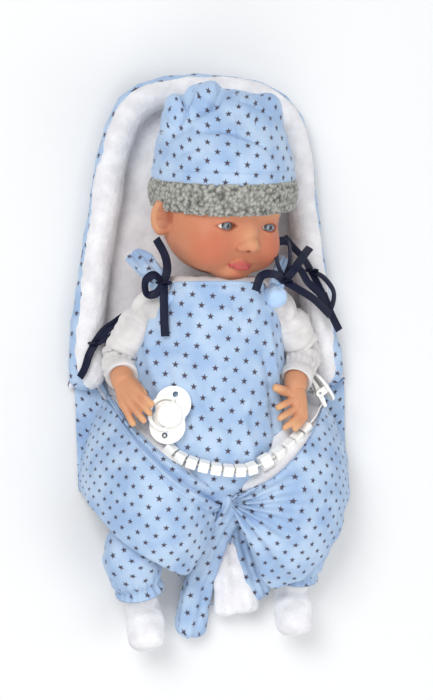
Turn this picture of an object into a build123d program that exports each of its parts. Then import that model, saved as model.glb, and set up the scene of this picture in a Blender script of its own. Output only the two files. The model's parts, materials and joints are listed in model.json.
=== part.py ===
from build123d import *
import math
import os

# A soft-bodied baby doll with vinyl head and limbs, lying on its back in a tied star-print swaddle.
# Millimetres. +Y runs from feet to crown, +X is the doll's left, +Z is its front.
# The origin is on the floor under the navel line. "right" and "left" are the doll's own.

# ---------------------------------------------------------------- driving dimensions
GAP = 0.3  # clearance between neighbouring soft or moving pieces
CLOTH = 2.0  # thickness of one garment layer
BIB_TOP = 60.0  # upper edge of the romper's bib
VINYL_WALL = 4.0  # wall of the rotocast head

SHEET = 5.0  # thickness of the fleece-lined swaddle under the doll
RIM_R = 12.0  # radius of the rolled fleece edge

SKULL_R = 54.5
SKULL_Y = 150.0  # crown-to-toe position of the skull's centre
HEAD_TURN = 30.0  # resting turn towards the doll's left
HEAD_NOD = 12.0  # chin-down tilt built into the neck
NECK_R = 15.0
NECK_GROOVE_R = 12.5
NECK_Y = 56.0  # lower end of the neck flange
BAND_T = 5.5  # thickness of the plush hat band
BAND_LOW = -10.0
BAND_HIGH = 15.0  # band height above the skull's centre
HAT_TOP = 78.0
HAT_T = 3.0

EYE_R = 8.6
EYE_AT = (18.5, -25.0, 39.5)  # left eye's centre in the head's own frame

ARM_R = 10.0
WRIST_R = 7.5
SLEEVE_R = 15.0
CUFF_R = 11.0
SHOULDER_R = 17.0
FINGER_R = 2.5

LEG_R = 15.0
TROUSER_R = 24.0
ANKLE_R = 11.0
HEM_R = 21.0
HIP = (33.0, -100.0, 42.0)  # left hip ball
HIP_LIFT = 20.0  # how far a thigh lifts, in degrees
SHOULDER_DISC = 30.0  # how far from the middle the shoulder pins' discs sit
HIP_DISC = 3.5
FOOT = (17.0, 17.0, 26.0)  # half width, height and length of a bootie

PIN_R = 3.0  # limb pivot pins
DISC_R = 9.0
DISC_T = 2.5

FLAP_T = 3.0  # swaddle cloth folded over the legs
BEAD = 8.6
CORD_R = 0.8
BORE_R = 1.8

CASE = (58.0, 46.0, 20.0)  # sound module
CASE_WALL = 2.0
CASE_AT = (0.0, -25.0, 36.0)  # centre of its underside
BUTTON_R = 8.0
BUTTON_TRAVEL = 2.0
CELL_R = 5.8
CELL_H = 5.4

# ---------------------------------------------------------------- derived places
BAND_R = SKULL_R + GAP + BAND_T
HEAD_Z = SHEET + GAP + BAND_R + 1.5  # the head clears the sheet as it turns
HEAD_AXIS = Plane(origin=(0, NECK_Y, HEAD_Z), x_dir=(1, 0, 0), z_dir=(0, 1, 0))
HEAD = Pos(0, SKULL_Y, HEAD_Z) * Rot(0, HEAD_TURN, 0) * Rot(HEAD_NOD, 0, 0)

# Torso sections: height along Y, half width, half depth, centre height
TORSO = [
    (66, 36, 23, 63),
    (52, 46, 30, 56),
    (20, 49, 34, 48),
    (-30, 51, 36, 46),
    (-75, 50, 34, 44.5),
    (-98, 40, 26, 43),
    (-110, 24, 14, 42),
]

# Joints of the limbs: shoulder or hip ball, elbow or knee, wrist or ankle
RIGHT_ARM = [(-59, 44, 51), (-77, 8, 44), (-78, -7, 66)]
LEFT_ARM = [(59, 44, 51), (75, 14, 42), (64, -10, 68)]
RIGHT_LEG = [(-HIP[0], HIP[1], HIP[2]), (-67, -148, 45), (-55, -200, 26)]
LEFT_LEG = [HIP, (71, -138, 44), (69, -190, 24)]

# Fingers from knuckle to tip: thumb, index, middle, ring, little
RIGHT_FINGERS = [
    [(-69, -12, 73), (-60, -22, 78)],
    [(-67, -18, 84.5), (-55.5, -30, 93)],
    [(-70, -23, 84.5), (-57, -37, 93)],
    [(-74, -27, 83), (-61.5, -43, 91)],
    [(-78, -29, 80), (-70, -46, 85)],
]
LEFT_FINGERS = [
    [(56, -17, 74), (43.5, -14.5, 81)],
    [(58, -24, 76), (46, -31, 80)],
    [(61, -30, 76), (46.5, -39, 80)],
    [(64, -34, 76), (51, -44, 80)],
    [(67, -36, 75), (58, -46, 80)],
]

PACIFIER = Plane(origin=(-41.5, -36.5, 85), x_dir=(0.257, 0.966, -0.03), z_dir=(-0.26, 0.1, 0.96))
SHIELD_T = 2.2
LOBE_R = 14.5
LOBE_AT = 9.0
HOLE_AT = 17.0  # vent and cord holes along the shield
KNOB_R = 10.5
RING_R = 13.0
RING_TUBE = 1.7
RING_OFFSET = 3.2
PIVOT_R = 1.1
PIVOT_DEPTH = 2.7  # how far the ring's pins reach into the knob
RING_LIFT = SHIELD_T / 2 + RING_TUBE + GAP  # height of the ring's hinge above the shield's middle

CLIP = Plane(origin=(91, -14, 47), x_dir=(0.59, -0.81, 0), z_dir=(-0.81, -0.59, 0))
CLIP_R = 14.0
PINCH = 2.4  # thickness of the fleece edge in the clip's jaws

# Route of the bead cord from the pacifier's lower hole to the clip, point between point and bead
CORD_ROUTE = [
    (-46.1, -52.85, 85.9),
    (-44.1, -53.6, 78.8),
    (-44.3, -60.8, 77.8),
    (-37, -68.3, 80.4),
    (-28.3, -73, 83.6),
    (-19.3, -76.3, 85.8),
    (-9.8, -78.7, 86.9),
    (0.1, -80.3, 86.9),
    (10.1, -81.2, 86.2),
    (19.8, -80.8, 84.6),
    (29.3, -78, 82.9),
    (43, -70.7, 80.8),
    (52.6, -64.5, 78),
    (60.6, -58.3, 75),
    (68.2, -51.5, 72.5),
    (75, -44, 70),
    (81, -38.5, 64.5),
    (85.2, -34.4, 56.3),
    (87.5, -31.2, 49.5),
    (91.2, -27.5, 47),
]
CHARM_RUN = 10  # the long run that carries the charm
FIRST_BEAD_RUN = 2
LAST_BEAD_RUN = 14

# Outlines of the swaddle's front flaps, seen from the front
RIGHT_FLAP = [
    (-120, -14), (-82, -12), (-68, -47), (-44, -75), (-13, -94), (8, -106),
    (2, -123), (-12, -148), (-25, -166), (-48, -157), (-80, -136), (-120, -108),
]
LEFT_FLAP = [
    (13, -106), (41, -92), (69, -66), (97, -27), (125, -22), (125, -110),
    (96, -146), (76, -168), (47, -178), (31, -156), (20, -133),
]


LINING = [(11, -160), (20, -160), (34, -188), (38, -212), (2, -214), (3, -190)]


# ---------------------------------------------------------------- shape helpers
def ellipsoid(rx, ry, rz):
    """Ball stretched to three half axes."""
    return scale(Sphere(1), by=(rx, ry, rz))


def limb(start, end, start_r, end_r):
    """Round-ended taper, tangent to a ball at each end."""
    base, along = Vector(*start), Vector(*end) - Vector(*start)
    length = along.length
    slope = math.asin((start_r - end_r) / length)

    def on_ball(radius, centre, angle):
        return (radius * math.cos(angle), 0, centre + radius * math.sin(angle))

    south, north = -math.pi / 2, math.pi / 2
    first, second = on_ball(start_r, 0, slope), on_ball(end_r, length, slope)
    bottom, top = (0, 0, -start_r), (0, 0, length + end_r)
    outline = [
        ThreePointArc(bottom, on_ball(start_r, 0, (south + slope) / 2), first),
        Line(first, second),
        ThreePointArc(second, on_ball(end_r, length, (north + slope) / 2), top),
        Line(top, bottom),
    ]
    return Plane(origin=base, z_dir=along) * revolve(make_face(outline), Axis.Z)


def torso_form(grow):
    """The stuffed torso, swollen evenly by a clothing allowance."""
    sections = []
    for index, (height, half_width, half_depth, centre) in enumerate(TORSO):
        ends = {0: grow, len(TORSO) - 1: -grow}
        plane = Plane(origin=(0, height + ends.get(index, 0), centre), x_dir=(1, 0, 0), z_dir=(0, 1, 0))
        sections.append(plane * Ellipse(half_width + grow, half_depth + grow))
    return loft(sections)


def between(start, end, share):
    """Point part of the way from start to end."""
    return tuple(a + (b - a) * share for a, b in zip(start, end))


def plate_from_points(points, low, high, corner=0):
    """Flat outline seen from the front, raised from one height to another."""
    face = make_face(Polyline(*points, close=True))
    if corner:
        face = fillet(face.vertices(), corner)
    return Pos(0, 0, low) * extrude(face, high - low)


def along_x(start, end, radius):
    """Round pin lying along X between two X values."""
    centre = ((start[0] + end[0]) / 2, start[1], start[2])
    return Pos(*centre) * Rot(0, 90, 0) * Cylinder(radius, abs(end[0] - start[0]))


# ---------------------------------------------------------------- head
def skull_form(wall):
    """Cranium and jaw, shrunk by a wall."""
    return Sphere(SKULL_R - wall) + Pos(0, -26, 6) * ellipsoid(47 - wall, 43 - wall, 44 - wall)


def eye_places():
    """Eye centres in the head's own frame: right, then left."""
    return [(-EYE_AT[0], EYE_AT[1], EYE_AT[2]), EYE_AT]


def head_shell():
    """Hollow vinyl head with cheeks, nose, lips, chin, ears, eye sockets and a grooved neck."""
    head = skull_form(0)
    for side in (-1, 1):
        head += Pos(side * 21, -41, 26) * Sphere(21)
        head += Pos(side * 51.5, -27, 2) * Rot(0, side * 20, 0) * ellipsoid(6, 15, 9)
    head += Pos(0, -39, 49) * ellipsoid(7, 7, 9)
    head += Pos(0, -55, 42) * ellipsoid(11, 4.5, 7)
    head += Pos(0, -64, 35) * Sphere(9)
    head -= skull_form(VINYL_WALL)
    for place in eye_places():
        head -= Pos(*place) * Sphere(EYE_R + GAP)
    head = HEAD * head
    flange_t, groove = 3.0, 4.0
    neck_top = SKULL_Y - NECK_Y - SKULL_R * 0.75
    bore_r = NECK_GROOVE_R - VINYL_WALL
    neck = HEAD_AXIS * Pos(0, 0, flange_t / 2) * Cylinder(NECK_R, flange_t)
    neck += HEAD_AXIS * Pos(0, 0, flange_t + groove / 2) * Cylinder(NECK_GROOVE_R, groove)
    stem = neck_top - flange_t - groove
    neck += HEAD_AXIS * Pos(0, 0, flange_t + groove + stem / 2) * Cylinder(NECK_R, stem)
    neck -= HEAD * skull_form(VINYL_WALL)
    head += neck
    return head - HEAD_AXIS * Cylinder(bore_r, 2 * neck_top)


def eye(place):
    """Glass-like eyeball with a raised cornea."""
    return HEAD * Pos(*place) * (Sphere(EYE_R) + Pos(0, 0, 4.6) * Sphere(5.2))


def hat_band():
    """Plush ring around the brow."""
    band = Pos(0, (BAND_LOW + BAND_HIGH) / 2, 0) * Rot(90, 0, 0) * Cylinder(BAND_R, BAND_HIGH - BAND_LOW)
    band = fillet(band.edges(), BAND_T * 0.45)
    return HEAD * (band - Sphere(SKULL_R + GAP) - ears_room())


def ears_room():
    """Space the ears take under the band, so the plush is notched over them."""
    room = Part()
    for side in (-1, 1):
        room += Pos(side * 51.5, -27, 2) * ellipsoid(8, 30, 11)
    return room


def hat():
    """Soft cap: round at the brow, flattening to a two-cornered top seam that folds over."""
    levels = [
        (BAND_HIGH + GAP, SKULL_R + HAT_T, SKULL_R + HAT_T),
        (BAND_HIGH + 25, 56, 48),
        (62, 55, 34),
        (HAT_TOP, 48, 10),
    ]
    faces = []
    for height, half_width, half_depth in levels:
        plane = Plane(origin=(0, height, 0), x_dir=(1, 0, 0), z_dir=(0, 1, 0))
        faces.append(plane * Ellipse(half_width, half_depth))
    cap = loft(faces) - Sphere(SKULL_R + GAP)
    cap += Pos(-44, HAT_TOP - 12, 10) * ellipsoid(10, 15, 12)
    cap += Pos(42, HAT_TOP - 8, 2) * ellipsoid(12, 10, 9)
    cap -= Sphere(SKULL_R + GAP)
    return HEAD * cap


# ---------------------------------------------------------------- torso and clothes
def arm_room(joints):
    """Cone about the pivot line, clear of the shoulder ball and of the swinging sleeve."""
    (x, y, z), bend = joints[0], joints[1]
    side = math.copysign(1, x)
    inner_x, outer_x = abs(x) - SHOULDER_R - GAP, abs(bend[0]) - SLEEVE_R
    inner_r = SHOULDER_R * 0.65
    outer_r = math.hypot(bend[1] - y, bend[2] - z) + SLEEVE_R * 0.5
    cone = Cone(inner_r, outer_r, outer_x - inner_x)
    return Pos(side * (inner_x + outer_x) / 2, y, z) * Rot(0, side * 90, 0) * cone


def leg_room(joints, share):
    """Socket for the hip ball and the top of the thigh, lifted by a share of its travel."""
    clear = GAP * (1 - 0.4 * share)
    thigh = limb(joints[0], joints[1], TROUSER_R + clear, TROUSER_R - 1 + clear)
    return thigh.rotate(Axis(joints[0], (-1, 0, 0)), HIP_LIFT * share)


def without_limbs(shape):
    """Shape with the arm holes and leg sockets cut away."""
    shape = shape - arm_room(RIGHT_ARM) - arm_room(LEFT_ARM)
    for share in (0.0, 0.5, 1.0):
        shape = shape - leg_room(RIGHT_LEG, share) - leg_room(LEFT_LEG, share)
    return shape


def neck_room(radius, depth=0.0):
    """Round opening for the neck, open towards the head."""
    height = 40.0
    return HEAD_AXIS * Pos(0, 0, height / 2 - GAP - depth) * Cylinder(radius, height)


def side_pins(grow):
    """Limb pins and their retaining discs, grown for clearance."""
    pins = Part()
    for joints, ball_r, inner in pivots():
        pins += pivot(joints, ball_r, inner, grow)
    return pins


def pivots():
    """Each limb's ball joint: its joints, ball radius and how far in its disc sits."""
    return [
        (RIGHT_ARM, SHOULDER_R, -SHOULDER_DISC),
        (LEFT_ARM, SHOULDER_R, SHOULDER_DISC),
        (RIGHT_LEG, TROUSER_R, -HIP_DISC),
        (LEFT_LEG, TROUSER_R, HIP_DISC),
    ]


def pivot(joints, ball_r, disc_x, grow=0.0):
    """Plastic pin from the middle of a limb's ball into the body, with its retaining disc."""
    centre = joints[0]
    side = math.copysign(1, centre[0])
    inner = (disc_x, centre[1], centre[2])
    pin = along_x(centre, inner, PIN_R + grow)
    disc_out = (disc_x + side * (DISC_T + grow), centre[1], centre[2])
    disc_in = (disc_x - side * grow, centre[1], centre[2])
    return pin + along_x(disc_in, disc_out, DISC_R + grow)


def cloth_body():
    """Stuffed cloth torso with a pocket for the sound module."""
    body = without_limbs(torso_form(0)) - neck_room(NECK_R + 2 * GAP + 1.5)
    body -= side_pins(GAP)
    button_room = BUTTON_TRAVEL + 6.0
    pocket = (CASE[0] + 2 * GAP, CASE[1] + 2 * GAP, CASE[2] + button_room + 2 * GAP)
    low = CASE_AT[2] - GAP
    return body - Pos(CASE_AT[0], CASE_AT[1], low + pocket[2] / 2) * Box(*pocket)


def garment(low, high):
    """One closed layer of clothing between two swellings of the torso."""
    layer = torso_form(high) - torso_form(low)
    return without_limbs(layer) - neck_room(NECK_R + GAP, depth=20)


def collar():
    """Soft rolled collar standing around the neck, below the chin."""
    radius, tube, height = 33.0, 5.0, CLOTH + 66.5
    plane = Plane(origin=(0, height, HEAD_Z), x_dir=(1, 0, 0), z_dir=(0, 1, 0))
    roll = plane * (Torus(radius, tube) + Pos(0, 0, -tube / 2) * Cylinder(radius, tube))
    return roll - neck_room(NECK_R + GAP, depth=20) - torso_form(GAP)


def shirt():
    """White long-sleeved shirt's body with its rolled collar."""
    return garment(GAP, CLOTH) + collar()


def romper():
    """Sleeveless star-print romper over the shirt, with a square bib top."""
    layer = garment(CLOTH + GAP, 2 * CLOTH + GAP)
    return layer - Pos(0, BIB_TOP + 50, 50) * Box(200, 100, 200)


def strap(side):
    """Cotton strap over one shoulder, from the bib to the back."""
    centre_x, width = 33.0, 11.0
    band = torso_form(2 * CLOTH + GAP) - torso_form(CLOTH + GAP)
    band &= Pos(side * centre_x, BIB_TOP + 50, 50) * Box(width, 100, 200)
    return without_limbs(band) - neck_room(NECK_R + 2 * GAP, depth=20) - collar()


def pompom(place, radius):
    """Padded ball that gathers the bib's corner."""
    return Pos(*place) * ellipsoid(radius, radius, radius * 0.9) - torso_form(2 * CLOTH + GAP)


def ribbon(knot, ends, width=6.5, thickness=1.2):
    """Satin ribbon tie: a knot with flat tails and loops running to the given ends."""
    tie = Pos(*knot) * Box(7.4, 7.9, 5.3)
    for end in ends:
        along = Vector(*end) - Vector(*knot)
        tail = Plane(origin=knot, x_dir=along, z_dir=Vector(0, 0, 1) - along * (along.Z / along.length**2))
        tie += tail * Pos(along.length / 2, 0, 0) * Box(along.length, width, thickness)
    return tie


# ---------------------------------------------------------------- limbs
def sleeve_solid(joints, grow=0.0):
    """Filled outline of a sleeve from shoulder ball to cuff."""
    shoulder, elbow, wrist = joints
    upper = limb(shoulder, elbow, SHOULDER_R + grow, SLEEVE_R + grow)
    return upper + limb(elbow, wrist, SLEEVE_R + grow, CUFF_R + grow)


def arm_solid(joints, fingers, grow=0.0):
    """Vinyl arm with palm and fingers."""
    shoulder, elbow, wrist = joints
    arm = limb(shoulder, elbow, ARM_R + 1 + grow, ARM_R + grow)
    arm += limb(elbow, wrist, ARM_R + grow, WRIST_R + grow)
    if grow:
        return arm
    knuckles = [finger[0] for finger in fingers]
    palm_r = 5.5
    for knuckle in knuckles[1:]:
        arm += limb(wrist, knuckle, palm_r + 1, palm_r - 1)
    for base, tip in fingers:
        arm += limb(base, tip, FINGER_R + 0.9, FINGER_R)
    return arm


def sleeve(joints):
    """Gathered shirt sleeve around the arm, cut square at the cuff."""
    shoulder, elbow, wrist = joints
    solid = sleeve_solid(joints) - arm_solid(joints, [], GAP)
    forearm = Vector(*wrist) - Vector(*elbow)
    cut = Plane(origin=between(elbow, wrist, 0.92), z_dir=forearm)
    return solid - cut * Pos(0, 0, 25) * Box(60, 60, 50)


def leg(joints):
    """Vinyl leg from hip to ankle."""
    hip, knee, ankle = joints
    return limb(hip, knee, LEG_R, LEG_R - 1) + limb(knee, ankle, LEG_R - 1, ANKLE_R)


def foot_place(joints):
    """Centre of the foot below the ankle."""
    ankle = joints[2]
    return (ankle[0], ankle[1] - 10, ankle[2] + 6)


def bootie(joints):
    """White padded bootie around foot and ankle."""
    shoe = Pos(*foot_place(joints)) * ellipsoid(*FOOT)
    shoe += limb(between(joints[1], joints[2], 0.75), joints[2], ANKLE_R + 5, ANKLE_R + 5)
    return shoe


def trouser_leg(joints, inner):
    """Star-print trouser leg over the vinyl leg, gathered at the hem."""
    hip, knee, ankle = joints
    solid = limb(hip, knee, TROUSER_R, TROUSER_R - 1) + limb(knee, ankle, TROUSER_R - 1, HEM_R)
    shin = Vector(*ankle) - Vector(*knee)
    cut = Plane(origin=between(knee, ankle, 0.62), z_dir=shin)
    solid -= cut * Pos(0, 0, 40) * Box(90, 90, 80)
    room = limb(hip, knee, LEG_R + GAP, LEG_R - 1 + GAP) + limb(knee, ankle, LEG_R - 1 + GAP, ANKLE_R + GAP)
    return solid - room - inner


# ---------------------------------------------------------------- swaddle
def swaddle_back():
    """Fleece-lined sheet that the doll lies on."""
    points = [
        (-62, 246), (62, 246), (80, 150), (108, -20), (112, -90), (92, -150),
        (60, -200), (20, -218), (-22, -218), (-38, -172), (-104, -112), (-104, -20), (-80, 150),
    ]
    return plate_from_points(points, 0, SHEET, corner=22)


def swaddle_rim():
    """Rolled fleece edge framing the head and shoulders."""
    height = SHEET + RIM_R
    points = [(-96, -12, height), (-72, 234, height), (72, 234, height), (101, -12, height)]
    path = FilletPolyline(*points, radius=58)
    start = Plane(origin=points[0], z_dir=path % 0)
    rim = sweep(start * Circle(RIM_R), path=path)
    rim += Pos(*points[0]) * Sphere(RIM_R) + Pos(*points[-1]) * Sphere(RIM_R)
    tab_low, tab_high = height, CLIP.origin.Z + 5
    stem = Plane(origin=(CLIP.origin.X, CLIP.origin.Y, tab_low), x_dir=CLIP.x_dir, z_dir=CLIP.z_dir)
    tab_h = tab_high - tab_low
    rim += stem * Pos(-9, tab_h / 2, PINCH / 2) * Box(8, tab_h, PINCH)
    return rim + stem * Pos(-4, 3, PINCH / 2) * Box(18, 14, PINCH)


def dome(centre, radii, thickness):
    """Cloth dome standing on the sheet, hollow below."""
    outer = ellipsoid(*radii)
    inner = ellipsoid(*(r - thickness for r in radii))
    return Pos(*centre) * (outer - inner)


def flap(outline, centre, radii):
    """Front flap of the swaddle over one bent leg."""
    cover = dome(centre, radii, FLAP_T) & plate_from_points(outline, SHEET, 120, corner=3)
    under_torso = Pos(0, -62, SHEET + 20) * Box(60, 100, 40)
    return cover - torso_form(2 * CLOTH + 2 * GAP) - under_torso


def tail(points, widths, low, high):
    """Hanging fold of cloth between the legs, tapering from the tie."""
    left = [(x - w, y) for (x, y), w in zip(points, widths)]
    right = [(x + w, y) for (x, y), w in zip(points, widths)]
    outline = left + right[::-1]
    face = make_face(Polyline(*outline, close=True))
    return Pos(0, 0, low) * extrude(face, high - low)


# ---------------------------------------------------------------- pacifier, chain and clip
def pacifier_shield():
    """Butterfly-shaped mouth shield, curved, with two vent holes."""
    curve_r = 100.0
    outline = Pos(-LOBE_AT, 0) * Circle(LOBE_R) + Pos(LOBE_AT, 0) * Circle(LOBE_R)
    outline += Rectangle(LOBE_AT, 1.7 * LOBE_R)
    shell = Sphere(curve_r + SHIELD_T / 2) - Sphere(curve_r - SHIELD_T / 2)
    shield = (Pos(0, 0, -curve_r) * shell) & (Pos(0, 0, -10) * extrude(outline, 20))
    for side in (-1, 1):
        shield -= Pos(side * HOLE_AT, 0, 0) * Cylinder(2.4, 20)
    return PACIFIER * shield


def pacifier_knob():
    """Domed knob on the shield's front, bored for the ring's hinge pins."""
    side_h, dome_h = 5.0, 4.0
    body = Pos(0, 0, side_h / 2) * Cylinder(KNOB_R, side_h)
    top = Pos(0, 0, side_h) * ellipsoid(KNOB_R, KNOB_R, dome_h)
    body += top & Pos(0, 0, side_h + 10) * Box(40, 40, 20)
    bore = Pos(0, 0, RING_LIFT) * Rot(0, 90, 0) * Cylinder(PIVOT_R + 0.15, 60)
    bore -= Cylinder(KNOB_R - PIVOT_DEPTH - GAP, 60)
    return PACIFIER * (body - bore) - pacifier_shield()


def pacifier_ring():
    """Carrying ring, open behind the knob, that swings on two pins in it."""
    reach = math.sqrt(RING_R**2 - RING_OFFSET**2)
    ring = Pos(0, RING_OFFSET, 0) * Torus(RING_R, RING_TUBE)
    ring -= Pos(0, -25, 0) * Box(60, 50, 20)
    inner = KNOB_R - PIVOT_DEPTH
    for side in (-1, 1):
        ring += Pos(side * reach, 0, 0) * Sphere(1.1 * RING_TUBE)
        ring += Pos(side * (reach + inner) / 2, 0, 0) * Rot(0, 90, 0) * Cylinder(PIVOT_R, reach - inner)
    return PACIFIER * Pos(0, 0, RING_LIFT) * ring


def pacifier_teat():
    """Short magnetic teat behind the shield, resting on the tummy."""
    stem_r, stem, tip_r, tip = 4.5, 5.0, 5.5, 4.0
    teat = Pos(0, 0, -stem / 2) * Cylinder(stem_r, stem) + Pos(0, 0, -stem) * ellipsoid(tip_r, tip_r, tip)
    return PACIFIER * teat - pacifier_shield() - torso_form(2 * CLOTH + GAP)


def cord_path():
    """Straight runs of the cord with the largest tangent arcs its runs allow."""
    points = [Vector(*p) for p in CORD_ROUTE]
    radii = []
    for before, here, after in zip(points, points[1:], points[2:]):
        first, second = here - before, after - here
        turn = math.radians(first.get_angle(second))
        radii.append(0.45 * min(first.length, second.length) / math.tan(turn / 2))
    print("cord radii", [round(r, 1) for r in radii])
    return FilletPolyline(*points, radius=radii)


def strap_cord():
    """Thin cord that threads the beads."""
    path = cord_path()
    cord = sweep(Plane(origin=path @ 0, z_dir=path % 0) * Circle(CORD_R), path=path)
    expected = math.pi * CORD_R**2 * path.length
    print("cord length", round(path.length, 1), "volume share", round(cord.volume / expected, 4))
    return cord


def run_plane(index):
    """Plane in the middle of one run of the cord, its Z along the run."""
    start, end = Vector(*CORD_ROUTE[index]), Vector(*CORD_ROUTE[index + 1])
    middle = (start + end) * 0.5
    outward = Vector(middle.X, middle.Y + 62, middle.Z - 44)
    return Plane(origin=middle, x_dir=outward.cross(end - start), z_dir=end - start)


def strap_beads():
    """Square beads, one on each run of the cord."""
    beads = []
    for index in range(FIRST_BEAD_RUN, LAST_BEAD_RUN + 1):
        if index != CHARM_RUN:
            cube = fillet(Box(BEAD, BEAD, BEAD).edges(), 1.0)
            beads.append(run_plane(index) * (cube - Cylinder(BORE_R, 2 * BEAD)))
    return Compound(children=beads)


def strap_charm():
    """Flower-shaped bead, larger than the rest."""
    petal_r, reach, length = 3.1, 3.6, 9.0
    flower = Circle(4)
    for turn in range(5):
        angle = math.radians(72 * turn + 90)
        flower += Pos(reach * math.cos(angle), reach * math.sin(angle)) * Circle(petal_r)
    charm = Pos(0, 0, -length / 2) * extrude(flower, length)
    return run_plane(CHARM_RUN) * (charm - Cylinder(BORE_R, 40))


def clip_disc():
    """Round clip front with two hinge lugs."""
    disc = Pos(0, 0, -1.2) * Cylinder(CLIP_R, 2.4)
    disc = fillet(disc.edges().sort_by(Axis.Z)[0], 1.0)
    for side in (-1, 1):
        disc += Pos(2, side * 5.6, 3) * Box(6, 1.8, 6)
        disc += Pos(2, side * 5.6, 6) * Rot(90, 0, 0) * Cylinder(3, 1.8)
    return CLIP * (disc - Pos(2, 0, 5.5) * Rot(90, 0, 0) * Cylinder(1.1, 20))


def clip_pin():
    """Steel hinge pin through both lugs."""
    return CLIP * Pos(2, 0, 5.5) * Rot(90, 0, 0) * Cylinder(1.05, 13.2)


def clip_lever():
    """Lever jaw: teeth at one end, thumb plate and cord eye at the other."""
    jaw = PINCH + 0.1
    profile = [(-13, jaw), (-6, jaw), (2, 3.0), (14, 6.5), (14, 9.0), (2, 8.0), (-5, 5.4), (-13, jaw + 1.6)]
    plate = extrude(Plane.XZ * make_face(Polyline(*profile, close=True)), 4.2, both=True)
    plate -= Pos(2, 0, 5.5) * Rot(90, 0, 0) * Cylinder(1.15, 20)
    plate -= Pos(11, 0, 5) * Cylinder(1.6, 12)
    return CLIP * plate


# ---------------------------------------------------------------- sound module
def case_box(height):
    """Outline of the module from its underside up to a height."""
    return Pos(CASE_AT[0], CASE_AT[1], CASE_AT[2] + height / 2) * Box(CASE[0], CASE[1], height)


def at_case(x, y, z):
    """Place measured from the middle of the module's underside."""
    return Pos(CASE_AT[0] + x, CASE_AT[1] + y, CASE_AT[2] + z)


LID_Z = CASE[2] - CASE_WALL  # height of the lid's underside in the module
BAY = (40.0, 14.0)  # battery bay opening
SPEAKER_AT = (-13.0, 0.0)
SPEAKER_R = 13.0
BUTTON_AT = (17.0, 0.0)
BOARD_Z = 9.0


def sound_case():
    """Open-topped tray with a battery bay and four screw bosses."""
    tray = case_box(LID_Z)
    tray = fillet(tray.edges().filter_by(Axis.Z), 4)
    inner = (CASE[0] - 2 * CASE_WALL, CASE[1] - 2 * CASE_WALL, LID_Z)
    tray -= at_case(0, 0, CASE_WALL + LID_Z / 2) * Box(*inner)
    for x in (-1, 1):
        for y in (-1, 1):
            boss = at_case(x * 23.5, y * 17.5, LID_Z / 2) * Cylinder(3.2, LID_Z)
            tray += boss - at_case(x * 23.5, y * 17.5, LID_Z) * Cylinder(1.0, 14)
    tray -= at_case(0, 6, 0) * Box(*BAY, 3 * CASE_WALL)
    tray -= at_case(0, 6, 0) * Box(BAY[0] + 4, BAY[1] + 4, 2.0)
    return tray - at_case(0, -13, 0) * Box(9, 4, 3 * CASE_WALL)


def sound_cover():
    """Lid with a speaker grille and the button's hole."""
    lid = at_case(0, 0, LID_Z + CASE_WALL / 2) * Box(CASE[0], CASE[1], CASE_WALL)
    lid = fillet(lid.edges().filter_by(Axis.Z), 4)
    for ring, count in ((0, 1), (4.5, 6), (9, 12)):
        for step in range(count):
            angle = 2 * math.pi * step / count
            x, y = SPEAKER_AT[0] + ring * math.cos(angle), SPEAKER_AT[1] + ring * math.sin(angle)
            lid -= at_case(x, y, LID_Z) * Cylinder(1.1, 10)
    for x in (-1, 1):
        for y in (-1, 1):
            lid -= at_case(x * 23.5, y * 17.5, LID_Z) * Cylinder(1.3, 10)
    return lid - at_case(*BUTTON_AT, LID_Z) * Cylinder(BUTTON_R + GAP, 10)


def case_screws():
    """Four self-tapping screws holding the lid."""
    screws = []
    for x in (-1, 1):
        for y in (-1, 1):
            head = at_case(x * 23.5, y * 17.5, CASE[2] + 0.8) * Cylinder(2.3, 1.6)
            shank = at_case(x * 23.5, y * 17.5, CASE[2] - 4) * Cylinder(0.95, 8)
            screws.append(head + shank)
    return Compound(children=screws)


def speaker():
    """Small speaker: basket, magnet and coned front."""
    basket = at_case(*SPEAKER_AT, LID_Z - 1.5) * Cylinder(SPEAKER_R, 2.6)
    magnet = at_case(*SPEAKER_AT, LID_Z - 4) * Cylinder(7, 4)
    cone = at_case(*SPEAKER_AT, LID_Z - 1.2) * Cone(3, 11, 2)
    return basket + magnet - cone


def circuit_board():
    """Board with the sound chip and the button's switch."""
    board = at_case(0, 0, BOARD_Z + 0.8) * Box(40, 38, 1.6)
    board += at_case(4, 12, BOARD_Z + 2.2) * Cylinder(4, 1.2)
    return board + at_case(*BUTTON_AT, BOARD_Z + 2.4) * Box(6, 6, 1.6)


def button_cells():
    """Three button cells side by side in the bay."""
    cells = []
    for step in (-1, 0, 1):
        cells.append(at_case(step * 12.4, 6, 2.2 + CELL_H / 2) * Cylinder(CELL_R, CELL_H))
    return Compound(children=cells)


def battery_contacts():
    """Spring leaf above the cells that joins them to the board."""
    leaves = []
    for step in (-1, 0, 1):
        leaves.append(at_case(step * 12.4, 6, 2.2 + CELL_H + 0.65) * Box(9, 5, 0.9))
    return Compound(children=leaves)


def battery_door():
    """Cover of the battery bay with its screw lug."""
    door = at_case(0, 6, 0.5) * Box(BAY[0] + 4 - 2 * GAP, BAY[1] + 4 - 2 * GAP, 0.9)
    return door + at_case(0, 6, 1.4) * Box(BAY[0] - 2 * GAP, BAY[1] - 2 * GAP, 1.0)


def push_button():
    """Domed plunger pressed through the tummy."""
    low = BOARD_Z + 3.2 + BUTTON_TRAVEL + 0.2
    high = CASE[2] + BUTTON_TRAVEL + 2.5
    plunger = at_case(*BUTTON_AT, (low + high) / 2) * Cylinder(BUTTON_R, high - low)
    flange_top = LID_Z - BUTTON_TRAVEL - 0.2
    if flange_top > low:
        plunger += at_case(*BUTTON_AT, (low + flange_top) / 2) * Cylinder(BUTTON_R + 2, flange_top - low)
    return plunger


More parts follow.
